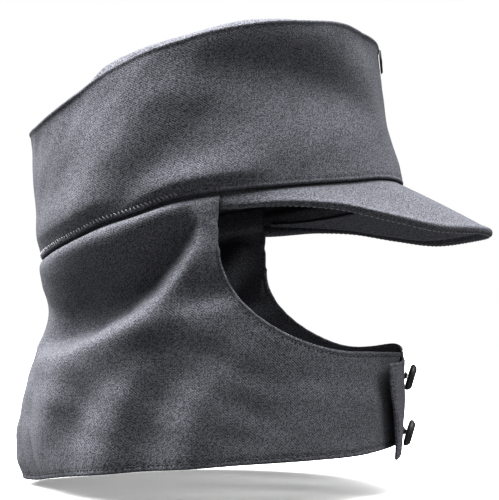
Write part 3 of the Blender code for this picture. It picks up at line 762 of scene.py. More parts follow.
@dataclass
class Wall:
    """A cloth wall: an outer sheet that gets its thickness, with round edges.

    lift moves the cloth out and in, and pinch takes from both of its faces, as a seam does.
    """

    points: Array
    faces: Array
    uv: Array
    thickness: Array
    girth: float = 0.0
    edge_steps: int = 4

    def shaped(self, lift: Array, pinch: Array | float = 0.0) -> "Wall":
        """The wall with its points moved along their outward directions.

        Args:
            lift: How far each point moves out, in metres.
            pinch: How much each face of the cloth loses there, in metres.

        Returns:
            The new wall.
        """
        normals = point_normals(self.points, self.faces)
        pinch = np.broadcast_to(np.asarray(pinch, float), lift.shape)
        points = self.points + normals * (lift - pinch)[:, None]
        return Wall(points, self.faces, self.uv, self.thickness - 2 * pinch, self.girth, self.edge_steps)

    def rim_edges(self) -> Array:
        """The sheet's free edges.

        Returns:
            The point pairs that lie on one face alone, in that face's direction.
        """
        pairs = np.concatenate([self.faces[:, [i, (i + 1) % 4]] for i in range(4)])
        pairs = pairs[pairs[:, 0] != pairs[:, 1]]
        key = np.sort(pairs, axis=1) @ np.array([len(self.points), 1])
        _, first, count = np.unique(key, return_index=True, return_counts=True)
        return pairs[first[count == 1]]

    def build(self, name: str) -> bpy.types.Object:
        """Give the sheet its thickness and its round edges.

        Args:
            name: The object's name.

        Returns:
            The closed cloth wall.
        """
        normals = point_normals(self.points, self.faces)
        half = np.asarray(self.thickness)[:, None] / 2
        edges = self.rim_edges()
        edge_points = np.unique(edges)
        slot = np.full(len(self.points), -1)
        slot[edge_points] = np.arange(len(edge_points))
        out, out_uv = np.zeros(self.points.shape), np.zeros(self.uv.shape)
        run, run_uv = self.points[edges[:, 1]] - self.points[edges[:, 0]], self._uv_run(edges)
        for end in (0, 1):
            np.add.at(out, edges[:, end], np.cross(run, normals[edges[:, end]]))
            np.add.at(out_uv, edges[:, end], np.stack([-run_uv[:, 1], run_uv[:, 0]], 1))
        out /= np.maximum(np.linalg.norm(out, axis=1, keepdims=True), 1e-12)
        out_uv /= np.maximum(np.linalg.norm(out_uv, axis=1, keepdims=True), 1e-12)
        middle = self.points - normals * half
        layers, uvs, numbers = [self.points], [self.uv], [np.arange(len(self.points))]
        total = len(self.points)
        for step in range(1, self.edge_steps + 1):
            angle = math.pi * (0.5 - step / (self.edge_steps + 1))
            ring = middle + half * (math.sin(angle) * normals + math.cos(angle) * out)
            layers.append(ring[edge_points])
            uvs.append((self.uv + out_uv * half * (math.pi / 2 - abs(angle)))[edge_points])
            numbers.append(total + slot)
            total += len(edge_points)
        layers.append(self.points - 2 * normals * half)
        uvs.append(self.uv)
        numbers.append(total + np.arange(len(self.points)))
        faces = [self.faces, self.faces[:, ::-1] + total]
        for near, far in pairwise(numbers):
            first, second = edges[:, 0], edges[:, 1]
            faces.append(np.stack([near[second], near[first], far[first], far[second]], 1))
        all_faces, all_uv = np.concatenate(faces), np.concatenate(uvs)
        inner = slice(len(self.faces), 2 * len(self.faces))
        same = all_faces[inner, 0] == all_faces[inner, 1]
        all_faces[inner][same] = np.roll(all_faces[inner][same], -1, axis=1)
        corner_uv = self._unwrapped(all_uv[all_faces])
        return make_mesh(name, np.concatenate(layers), all_faces, corner_uv)

    def _uv_run(self, edges: Array) -> Array:
        """The way along each rim edge.

        Args:
            edges: The point pairs.

        Returns:
            Two lengths a pair, in metres of cloth.
        """
        run = self.uv[edges[:, 1]] - self.uv[edges[:, 0]]
        if self.girth:
            run[:, 0] = (run[:, 0] + self.girth / 2) % self.girth - self.girth / 2
        return run

    def _unwrapped(self, corner_uv: Array) -> Array:
        """The faces' corners on the cloth, with the faces that close a ring laid past its end.

        Args:
            corner_uv: One place a face corner.

        Returns:
            The same places, mended.
        """
        if self.girth:
            along = corner_uv[:, :, 0]
            split = along.max(axis=1, keepdims=True) - along.min(axis=1, keepdims=True) > self.girth / 2
            along[split & (along < self.girth / 2)] += self.girth
        return corner_uv


def grid_faces(numbers: Array, closed: bool = False) -> Array:
    """Faces between the columns of a grid of point numbers.

    Args:
        numbers: One row a column of cloth, from its top to its hem; -1 where it has no point.
        closed: Whether the last column meets the first.

    Returns:
        Four point numbers a face, outward where the columns run from the wearer's right to the left.
    """
    following = np.roll(numbers, -1, axis=0) if closed else numbers[1:]
    current = numbers if closed else numbers[:-1]
    faces = np.stack([current[:, :-1], following[:, :-1], following[:, 1:], current[:, 1:]], -1)
    faces = faces.reshape(-1, 4)
    return faces[(faces >= 0).all(axis=1)]


def crowded(count: int, start: float, end: float) -> Array:
    """Shares from 0 to 1 that lie closer together at the start and the end.

    Args:
        count: How many steps there are.
        start: How much closer they lie at the start, from 0 to 1.
        end: How much closer they lie at the end.

    Returns:
        One share more than there are steps.
    """
    share = np.linspace(0.0, 1.0, count + 1)
    pace = 1.0 - start * (1.0 - ease(share / 0.35)) - end * (1.0 - ease((1.0 - share) / 0.35))
    way = np.concatenate([[0.0], np.cumsum((pace[1:] + pace[:-1]) / 2)])
    return way / way[-1]


def numbered(points: Array) -> Array:
    """Point numbers for a grid of points."""
    return np.arange(points.shape[0] * points.shape[1]).reshape(points.shape[:2])


def path_lengths(points: Array) -> Array:
    """Distance along each row of points, from its first point.

    Args:
        points: Rows of points, with X, Y and Z last.

    Returns:
        One distance a point.
    """
    steps = np.linalg.norm(np.diff(points, axis=-2), axis=-1)
    return np.concatenate([np.zeros((*steps.shape[:-1], 1)), np.cumsum(steps, axis=-1)], axis=-1)


def distance_to(points: Array, line: Array, batch: int = 32) -> Array:
    """Distance from each point to the nearest point of a line.

    Args:
        points: One row a point.
        line: One row a point of the line.
        batch: How many of the line's points are measured at once.

    Returns:
        One distance a point.
    """
    nearest = np.full(len(points), np.inf)
    for start in range(0, len(line), batch):
        part = line[start : start + batch]
        away = np.linalg.norm(points[:, None, :] - part[None, :, :], axis=-1).min(axis=1)
        nearest = np.minimum(nearest, away)
    return nearest


def dress(
    piece: bpy.types.Object, finish: bpy.types.Material, slot: Slot, replaces: Sequence[str] = ()
) -> bpy.types.Object:
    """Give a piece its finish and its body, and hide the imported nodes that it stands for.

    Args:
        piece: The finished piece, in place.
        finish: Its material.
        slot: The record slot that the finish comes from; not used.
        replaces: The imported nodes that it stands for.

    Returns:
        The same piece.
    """
    piece.data.materials.clear()
    piece.data.materials.append(finish)
    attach(piece, BODY)
    if replaces:
        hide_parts(*replaces)
    log.info("%s: %d faces", piece.name, len(piece.data.polygons))
    return piece


# Node trees


class Wire:
    """A value in a node tree; arithmetic on it adds Math nodes."""

    def __init__(self, board: "Board", socket: Any) -> None:
        """Wrap an output socket of a tree."""
        self.board = board
        self.socket = socket

    def _maths(self, operation: str, *values: Any) -> "Wire":
        """The result of one Math node.

        Args:
            operation: The node's operation.
            values: What its inputs get.

        Returns:
            The node's output.
        """
        node = self.board.add("ShaderNodeMath", {"operation": operation})
        for value, socket in zip(values, node.inputs):
            self.board.join(value, socket)
        return Wire(self.board, node.outputs[0])

    def __add__(self, other: Any) -> "Wire":
        """Add."""
        return self._maths("ADD", self, other)

    __radd__ = __add__

    def __mul__(self, other: Any) -> "Wire":
        """Multiply."""
        return self._maths("MULTIPLY", self, other)

    __rmul__ = __mul__

    def __sub__(self, other: Any) -> "Wire":
        """Subtract."""
        return self._maths("SUBTRACT", self, other)

    def __rsub__(self, other: Any) -> "Wire":
        """Subtract from a number."""
        return self._maths("SUBTRACT", other, self)

    def __truediv__(self, other: Any) -> "Wire":
        """Divide."""
        return self._maths("DIVIDE", self, other)

    def floor(self) -> "Wire":
        """The whole number below."""
        return self._maths("FLOOR", self)

    def sine(self) -> "Wire":
        """The sine of an angle."""
        return self._maths("SINE", self)

    def cosine(self) -> "Wire":
        """The cosine of an angle."""
        return self._maths("COSINE", self)

    def wave(self) -> "Wire":
        """A wave from 0 to 1 that repeats with each whole number."""
        return (self * math.tau).sine() * 0.5 + 0.5

    def between(self, low: float, high: float) -> "Wire":
        """A smooth step.

        Args:
            low: Where it is still 0.
            high: Where it has reached 1.

        Returns:
            The step.
        """
        smooth = {"interpolation_type": "SMOOTHSTEP"}
        node = self.board.add("ShaderNodeMapRange", smooth, Value=self, From_Min=low, From_Max=high)
        return Wire(self.board, node.outputs[0])


class Board:
    """A node tree under construction."""

    def __init__(self, tree: Any) -> None:
        """Start on an empty tree."""
        self.tree = tree

    def join(self, value: Any, socket: Any) -> None:
        """Link to an input, or set the input's own value.

        Args:
            value: A wire, an output, a node for its first output, or the input's own value.
            socket: The input.
        """
        if isinstance(value, bpy.types.Node):
            value = value.outputs[0]
        if isinstance(value, Wire):
            value = value.socket
        if isinstance(value, bpy.types.NodeSocket):
            self.tree.links.new(value, socket)
        else:
            socket.default_value = value

    def add(self, kind: str, settings: dict[str, Any] | None = None, **links: Any) -> Any:
        """Add a node.

        Args:
            kind: The node's type.
            settings: Its own settings, which are set first.
            links: What its inputs get, by name with _ for each space.

        Returns:
            The node.
        """
        node = self.tree.nodes.new(kind)
        for key, value in (settings or {}).items():
            setattr(node, key, value)
        for key, value in links.items():
            name = key.replace("_", " ").lower()
            socket = next(s for s in node.inputs if s.enabled and s.name.lower() == name)
            self.join(value, socket)
        return node

    def wire(self, node: Any, output: int = 0) -> Wire:
        """One output of a node."""
        return Wire(self, node.outputs[output])


class Tree(Board):
    """A geometry node tree with named inputs, whose result becomes a plain mesh."""

    def __init__(self, name: str, inputs: dict[str, tuple[str, Any]]) -> None:
        """Make the empty tree.

        Args:
            name: The tree's name.
            inputs: Each input's kind and own value, by name.
        """
        super().__init__(bpy.data.node_groups.new(name, "GeometryNodeTree"))
        face = self.tree.interface
        face.new_socket("Geometry", in_out="OUTPUT", socket_type="NodeSocketGeometry")
        face.new_socket("Geometry", in_out="INPUT", socket_type="NodeSocketGeometry")
        for label, (kind, value) in inputs.items():
            socket = face.new_socket(label, in_out="INPUT", socket_type=f"NodeSocket{kind}")
            if value is not None:
                socket.default_value = value
        self.entry = self.add("NodeGroupInput")

    def input(self, label: str) -> Wire:
        """A named input."""
        return Wire(self, self.entry.outputs[label])

    def finish(self, geometry: Any) -> None:
        """End the tree in Realize Instances and Set Material.

        Args:
            geometry: What the tree has made.
        """
        real = self.add("GeometryNodeRealizeInstances", Geometry=geometry)
        smooth = self.add("GeometryNodeSetShadeSmooth", Geometry=real)
        made = self.add("GeometryNodeSetMaterial", Geometry=smooth, Material=self.input("Material"))
        self.add("NodeGroupOutput", Geometry=made)

    def apply(self, piece: bpy.types.Object, **values: Any) -> None:
        """Run the tree on a piece and keep the result as its plain mesh.

        Args:
            piece: The object whose mesh goes in.
            values: The named inputs that differ, in lower case with _ for each space.
        """
        modifier = piece.modifiers.new(self.tree.name, "NODES")
        modifier.node_group = self.tree
        for item in self.tree.interface.items_tree:
            key = item.name.lower().replace(" ", "_")
            if item.in_out == "INPUT" and key in values:
                modifier[item.identifier] = values[key]
        settle(piece, modifier)


def settle(piece: bpy.types.Object, modifier: bpy.types.Modifier) -> None:
    """Keep a modifier's result as a piece's plain mesh, and remove the modifier.

    Args:
        piece: The piece.
        modifier: Its one modifier.
    """
    piece.update_tag()
    bpy.context.view_layer.update()
    seen = piece.evaluated_get(bpy.context.evaluated_depsgraph_get())
    mesh = bpy.data.meshes.new_from_object(seen)
    piece.modifiers.remove(modifier)
    piece.data = mesh
    mesh.name = piece.name


def stitch_tree() -> Tree:
    """A tree that sews a row of thread stitches along each line of its input mesh.

    Returns:
        The tree; its input points carry the outward direction in the attribute outward.
    """
    tree = Tree(
        "stitches",
        {
            "Pitch": ("Float", 0.0025),
            "Length": ("Float", 0.0019),
            "Thread": ("Float", 0.0005),
            "Slant": ("Float", 0.0),
            "Sink": ("Float", 0.0001),
            "Wobble": ("Float", 0.12),
            "Seed": ("Int", 3),
            "Material": ("Material", None),
        },
    )
    thread, length = tree.input("Thread"), tree.input("Length")
    line = tree.add("GeometryNodeMeshToCurve", Mesh=tree.input("Geometry"))
    row = tree.add("GeometryNodeResampleCurve", {"mode": "LENGTH"}, Curve=line, Length=tree.input("Pitch"))
    outward = tree.add("GeometryNodeInputNamedAttribute", {"data_type": "FLOAT_VECTOR"}, Name="outward")
    upright = tree.add("FunctionNodeAlignRotationToVector", {"axis": "Z"}, Vector=outward)
    turned = tree.add(
        "FunctionNodeAlignRotationToVector",
        {"axis": "X", "pivot_axis": "Z"},
        Rotation=upright,
        Vector=tree.add("GeometryNodeInputTangent"),
    )
    seed = tree.input("Seed")
    spread = tree.add("FunctionNodeRandomValue", {"data_type": "FLOAT"}, Min=-1.0, Max=1.0, Seed=seed)
    wobble = tree.wire(spread, 1) * tree.input("Wobble")
    angle = tree.input("Slant") + wobble
    slant = tree.add("FunctionNodeAxisAngleToRotation", Axis=(0.0, 0.0, 1.0), Angle=angle)
    local = {"rotation_space": "LOCAL"}
    rotated = tree.add("FunctionNodeRotateRotation", local, Rotation=turned, Rotate_By=slant)
    size = tree.add("ShaderNodeCombineXYZ", X=length * (wobble + 1.0), Y=thread, Z=thread)
    bead = tree.add("GeometryNodeMeshUVSphere", Segments=6, Rings=5, Radius=0.5)
    sewn = tree.add(
        "GeometryNodeInstanceOnPoints", Points=row, Instance=bead, Rotation=rotated, Scale=size
    )
    down = tree.add("ShaderNodeCombineXYZ", X=0.0, Y=0.0, Z=tree.input("Sink") * -1.0)
    tree.finish(tree.add("GeometryNodeTranslateInstances", Instances=sewn, Translation=down))
    return tree


def turned_tree() -> Tree:
    """A tree that turns its input line, whose X is a radius and Z a height, into a round piece about Z.

    Returns:
        The tree; its input mesh is a row of points from the axis back to the axis.
    """
    tree = Tree(
        "turned piece",
        {
            "Radius": ("Float", 0.0077),
            "Thickness": ("Float", 0.003),
            "Steps": ("Int", 48),
            "Rows": ("Int", 8),
            "Ridges": ("Float", 0.0),
            "Ridge Depth": ("Float", 0.0),
            "Material": ("Material", None),
        },
    )
    steps, rows = tree.input("Steps"), tree.input("Rows")
    grid = tree.add("GeometryNodeMeshGrid", Size_X=1.0, Size_Y=1.0, Vertices_X=steps, Vertices_Y=rows)
    number = tree.wire(tree.add("GeometryNodeInputIndex"))
    column = (number / rows).floor()
    profile = tree.add(
        "GeometryNodeSampleIndex",
        {"data_type": "FLOAT_VECTOR", "domain": "POINT"},
        Geometry=tree.input("Geometry"),
        Value=tree.add("GeometryNodeInputPosition"),
        Index=number - column * rows,
    )
    parts = tree.add("ShaderNodeSeparateXYZ", Vector=profile)
    out, height = tree.wire(parts, 0), tree.wire(parts, 2)
    angle = column / (steps - 1.0) * math.tau
    wave = (angle + height * tree.input("Ridges")).sine()
    radius = out * tree.input("Radius") + wave * tree.input("Ridge Depth") * out
    x, y, z = radius * angle.cosine(), radius * angle.sine(), height * tree.input("Thickness")
    spot = tree.add("ShaderNodeCombineXYZ", X=x, Y=y, Z=z)
    moved = tree.add("GeometryNodeSetPosition", Geometry=grid, Position=spot)
    tree.finish(tree.add("GeometryNodeMergeByDistance", Geometry=moved, Distance=0.000005))
    return tree


class Row(NamedTuple):
    """A row of places on a cloth, with the outward direction at each."""

    points: Array
    outward: Array


@dataclass
class Sewing:
    """Rows of thread stitches, made by one tree."""

    tree: Tree
    thread: bpy.types.Material

    def sew(self, name: str, rows: Iterable[Row], **sizes: float) -> bpy.types.Object:
        """Sew stitches along rows.

        Args:
            name: The piece's name.
            rows: The rows to sew along.
            sizes: The tree's named inputs, in lower case with _ for each space.

        Returns:
            The stitches as one dressed piece.
        """
        mesh = bpy.data.meshes.new(name)
        rows = list(rows)
        points = np.concatenate([row.points for row in rows])
        outward = np.concatenate([row.outward for row in rows])
        ends = np.cumsum([len(row.points) for row in rows])
        edges = [(i, i + 1) for i in range(len(points) - 1) if i + 1 not in ends]
        mesh.from_pydata(points.tolist(), edges, [])
        layer = mesh.attributes.new("outward", "FLOAT_VECTOR", "POINT")
        layer.data.foreach_set("vector", outward.astype(np.float32).ravel())
        piece = linked(name, mesh)
        self.tree.apply(piece, material=self.thread, **sizes)
        return dress(piece, self.thread, Slot.THREAD)


# Finishes


class Shader(Board):
    """A material's shader tree under construction."""

    def __init__(self, name: str) -> None:
        """Start a material with an empty tree.

        Args:
            name: The material's name.
        """
        self.material = bpy.data.materials.new(name)
        self.material.use_nodes = True
        super().__init__(self.material.node_tree)
        self.tree.nodes.clear()

    def noise(self, vector: Any, scale: float, detail: float = 2.0, rough: float = 0.5) -> Wire:
        """Noise from 0 to 1, with this many swells a metre."""
        node = self.add("ShaderNodeTexNoise", Vector=vector, Scale=scale, Detail=detail, Roughness=rough)
        return self.wire(node)

    def blend(self, share: Any, first: Any, second: Any, kind: str = "MIX") -> Wire:
        """A colour made from two colours.

        Args:
            share: How much of the second colour, from 0 to 1.
            first: The first colour.
            second: The second colour.
            kind: The node's way of blending them.

        Returns:
            The colour.
        """
        node = self.add("ShaderNodeMix", {"data_type": "RGBA", "blend_type": kind})
        for value, number in ((share, 0), (first, 6), (second, 7)):
            self.join(value, node.inputs[number])
        return self.wire(node, 2)

    def close(self, height: Wire | None, depth: float, **sockets: Any) -> bpy.types.Material:
        """End the tree in one shader with a bump.

        Args:
            height: What stands out, from 0 to 1, or None.
            depth: How far a height of 1 stands out, in metres.
            sockets: What the shader's inputs get, by name with _ for each space.

        Returns:
            The finished material.
        """
        if height is not None:
            sockets["Normal"] = self.add("ShaderNodeBump", Height=height, Strength=1.0, Distance=depth)
        shader = self.add("ShaderNodeBsdfPrincipled", **sockets)
        self.add("ShaderNodeOutputMaterial", Surface=shader)
        return self.material


def grey(value: float, warm: float = 1.0, cool: float = 1.0) -> tuple[float, float, float, float]:
    """A grey with its red and blue turned up or down."""
    return (value * warm, value, value * cool, 1.0)


@dataclass(frozen=True)
class WoolTwill:
    """Slate grey wool twill: fine slanting ribs of mixed light and dark yarn, with a nap."""

    name: str = "slate wool twill"
    dark: float = 0.040
    light: float = 0.255
    warm: float = 0.985
    cool: float = 1.13
    rib: float = 0.0014
    float_length: float = 0.0009
    grain: float = 1450.0
    sway: float = 0.0011
    patches: float = 28.0
    patchiness: float = 0.12
    relief: float = 0.00014
    roughness: float = 0.9
    nap: float = 0.05
    nap_roughness: float = 0.4

    def make(self) -> bpy.types.Material:
        """Build the material on the cloth's own metres.

        Returns:
            The material.
        """
        board = Shader(self.name)
        cloth = board.add("ShaderNodeUVMap", {"uv_map": CLOTH_UV})
        sway = board.noise(cloth, 90.0, 1.0) * self.sway
        parts = board.add("ShaderNodeSeparateXYZ", Vector=cloth)
        along, up = board.wire(parts, 0) + sway, board.wire(parts, 1)
        across_ribs = (along - up) / self.rib
        along_ribs = (along + up) / self.float_length + across_ribs.floor() * 0.37
        rib = across_ribs.wave()
        spot = board.add("ShaderNodeCombineXYZ", X=across_ribs.floor(), Y=along_ribs.floor(), Z=0.0)
        yarn = board.wire(board.add("ShaderNodeTexWhiteNoise", {"noise_dimensions": "3D"}, Vector=spot))
        fibre = board.noise(cloth, self.grain, 2.0, 0.7)
        patch = board.noise(cloth, self.patches, 3.0, 0.55)
        melange = (fibre + yarn * 0.14 + rib * 0.05 - 0.10).between(0.30, 0.72)
        light = grey(self.light, self.warm, self.cool)
        dark = grey(self.dark, self.warm, self.cool)
        shade = patch * self.patchiness + (1.0 - self.patchiness / 2)
        tone = board.add("ShaderNodeCombineColor", Red=shade, Green=shade, Blue=shade)
        colour = board.blend(1.0, board.blend(melange, dark, light), tone, "MULTIPLY")
        height = rib * 0.45 + fibre * 0.55
        return board.close(
            height,
            self.relief,
            Base_Color=colour,
            Roughness=self.roughness,
            Specular_IOR_Level=0.2,
            Sheen_Weight=self.nap,
            Sheen_Roughness=self.nap_roughness,
            Sheen_Tint=grey(0.8, 0.98, 1.05),
        )


@dataclass(frozen=True)
class SewingThread:
    """Twisted thread, a little glossier than the cloth."""

    name: str
    colour: float
    twist: float = 2400.0
    relief: float = 0.00006
    roughness: float = 0.62

    def make(self) -> bpy.types.Material:
        """Build the material on the object's own metres.

        Returns:
            The material.
        """
        board = Shader(self.name)
        place = board.add("ShaderNodeTexCoord").outputs["Object"]
        parts = board.add("ShaderNodeSeparateXYZ", Vector=place)
        x, y, z = (board.wire(parts, axis) for axis in range(3))
        strand = ((x + y + z) * self.twist).wave()
        fibre = board.noise(place, 3000.0, 2.0, 0.6)
        share = (strand * 0.5 + fibre * 0.5).between(0.1, 0.9)
        dark, light = (grey(self.colour * part, 1.0, 1.05) for part in (0.65, 1.25))
        colour = board.blend(share, dark, light)
        return board.close(
            strand * 0.6 + fibre * 0.4,
            self.relief,
            Base_Color=colour,
            Roughness=self.roughness,
            Specular_IOR_Level=0.35,
            Sheen_Weight=0.2,
        )


@dataclass(frozen=True)
class Moulded:
    """A moulded or painted surface: faint mottling, fine scuffs and a soft shine."""

    name: str
    colour: tuple[float, float, float]
    roughness: float
    metallic: float = 0.0
    mottle: float = 260.0
    scuff: float = 1400.0
    relief: float = 0.00003

    def make(self) -> bpy.types.Material:
        """Build the material on the object's own metres.

        Returns:
            The material.
        """
        board = Shader(self.name)
        place = board.add("ShaderNodeTexCoord").outputs["Object"]
        mottle = board.noise(place, self.mottle, 4.0, 0.6)
        scuff = board.noise(place, self.scuff, 3.0, 0.7).between(0.55, 0.75)
        dark, pale, rubbed = ((*(min(1.0, c * part) for c in self.colour), 1.0) for part in (0.7, 1.5, 2.6))
        colour = board.blend(mottle.between(0.3, 0.75), dark, pale)
        worn = board.blend(scuff * 0.35, colour, rubbed)
        return board.close(
            mottle * 0.5 + scuff * 0.3,
            self.relief,
            Base_Color=worn,
            Roughness=(mottle * 0.2 + scuff * 0.2 + (self.roughness - 0.1)),
            Metallic=self.metallic,
            Specular_IOR_Level=0.5,
        )


# Pieces


@dataclass
class CrownSide:
    """The crown's side wall: a folded lower edge, a thin ridge at the top and a seam at the nape."""

    form: CrownForm
    columns: int = 440
    rows: int = 68
    ridge: float = 0.0014
    ridge_reach: float = 0.006
    stitch_height: float = 0.0021
    groove: float = 0.00022
    groove_width: float = 0.0009
    pucker: float = 0.00016
    pucker_pitch: float = 0.0052
    pucker_reach: float = 0.004
    seam_start: float = 0.004
    still: tuple[float, float] = (0.012, 0.010)
    lip: float = 0.0007
    lip_drop: float = 0.0014
    lip_width: float = 0.0012
    crumple: Crumple = Crumple(0.00042, 0.014, 0.07, 11)

    def build(self) -> Wall:
        """Shape the side wall.

        Returns:
            The cloth wall, still without its thickness.
        """
        turns = -np.arange(self.columns) * 2.0 / self.columns
        turns = np.where(turns < -1.0, turns + 2.0, turns)[::-1]
        wall = self.form.wall(turns)[:, None]
        low, high = self.form.cloth / 2, self.ridge / 2
        rise = low / wall + crowded(self.rows, 0.7, 0.8)[::-1] * (1.0 - (low + high) / wall)
        points = self.form.point(turns[:, None], rise)
        along = (turns % 2.0)[:, None] * self.form.half_girth + 0.0 * rise
        above, under = rise * wall, (1.0 - rise) * wall
        thickness = mix(self.ridge, self.form.cloth, ease(under / self.ridge_reach))
        seam_way = np.abs(turns)[:, None] * self.form.half_girth
        shape = Wall(
            points.reshape(-1, 3),
            grid_faces(numbered(points), closed=True),
            np.stack([along, above], -1).reshape(-1, 2),
            thickness.reshape(-1),
            girth=2 * self.form.half_girth,
        )
        stitched = bell(above - self.stitch_height, self.groove_width)
        seam = bell(seam_way, self.groove_width) * ease(above / self.seam_start)
        ripple = np.sin(along / self.pucker_pitch * math.tau + 2.0 * np.sin(along * 61.0))
        lift = self.crumple.at(along, above) * ease(above / self.still[0]) * ease(under / self.still[1])
        lift = lift + self.pucker * ripple * bell(above - self.stitch_height, self.pucker_reach)
        lift = lift + self.lip * bell(under - self.lip_drop, self.lip_width)
        return shape.shaped(lift.reshape(-1), (self.groove * (stitched + 1.6 * seam)).reshape(-1))

    def stitch_row(self, reach: float, count: int = 900) -> Row:
        """The row sewn just above the lower edge, round the nape.

        Args:
            reach: How far round it goes on each side, as a turn.
            count: How many places it has.

        Returns:
            The row.
        """
        turns = np.linspace(-reach, reach, count)
        rise = self.stitch_height / self.form.wall(turns)
        points = self.form.point(turns, rise)
        return Row(points, outward_of(self.form.point, turns, rise))


def outward_of(form: Any, turns: Array, places: Array, step: float = 0.0004) -> Array:
    """The outward direction of a form at places on it.

    Args:
        form: A function of turn and place that gives points.
        turns: The turns.
        places: The form's second values there.
        step: How far apart the form is read, in both.

    Returns:
        Unit directions away from the head.
    """
    along = form(turns + step, places) - form(turns - step, places)
    up = form(turns, places + step) - form(turns, places - step)
    out = np.cross(along, up)
    middle = form(turns, places)
    away = np.sign((out[..., :2] * middle[..., :2]).sum(-1, keepdims=True))
    return out * away / np.linalg.norm(out, axis=-1, keepdims=True)


@dataclass
class CrownTop:
    """The oval top panel, rolled down into the crease behind the side wall's top edge."""

    form: CrownForm
    columns: int = 240
    rings: int = 44
    tuck: float = 0.007
    tuck_lean: float = 0.0004
    inset: float = 0.0013
    crease: float = 0.0024
    roll: float = 0.0030
    fair: float = 0.035
    still: float = 0.15
    thickness: float = 0.0016
    crumple: Crumple = Crumple(0.00050, 0.018, 0.08, 23)

    def build(self) -> Wall:
        """Shape the top panel.

        Returns:
            The cloth wall, still without its thickness.
        """
        turns = np.linspace(-1.0, 1.0, self.columns, endpoint=False)
        wall = self.form.wall(turns)
        rim = self.form.point(turns, 1.0 - self.crease / wall, self.inset)
        tuck = self.form.point(turns, 1.0 - self.tuck / wall, self.inset + self.tuck_lean)
        middle = np.array([0.0, self.form.top_setback, 0.0])
        rings = [tuck, mix(tuck, rim, 0.6), rim]
        shares = 1.0 - crowded(self.rings, 0.85, 0.0)[1:-1]
        gap = rim[:, 2] + self.crease - self.form.top_height(rim[:, 0], rim[:, 1])
        for share in shares:
            plan = middle + (rim - middle) * share
            inward = np.linalg.norm((rim - plan)[:, :2], axis=1)
            height = self.form.top_height(plan[:, 0], plan[:, 1])
            outer = 1.0 - np.clip(inward / self.roll, 0, 1)
            sink = self.crease * (1.0 - np.sqrt(1.0 - outer**2))
            plan[:, 2] = height - sink + gap * (1.0 - ease(inward / self.fair))
            rings.append(plan)
        points = np.stack(rings, 1)
        numbers = numbered(points)
        centre = middle.copy()
        centre[2] = self.form.top_height(np.zeros(1), np.array([self.form.top_setback]))[0]
        faces = grid_faces(numbers, closed=True)[:, ::-1]
        last = numbers[:, -1]
        hub = np.full(self.columns, points.shape[0] * points.shape[1])
        cap = np.stack([np.roll(last, -1), last, hub, hub], 1)
        flat = np.concatenate([points.reshape(-1, 3), centre[None]])
        uv = flat[:, :2].copy()
        shape = Wall(flat, np.concatenate([faces, cap]), uv, np.full(len(flat), self.thickness))
        lift = self.crumple.at(uv[:, 0], uv[:, 1])
        inward = np.concatenate([[0, 0, 0], 1.0 - shares])
        lift[:-1] *= ease(np.tile(inward, points.shape[0]) / self.still)
        return shape.shaped(lift)


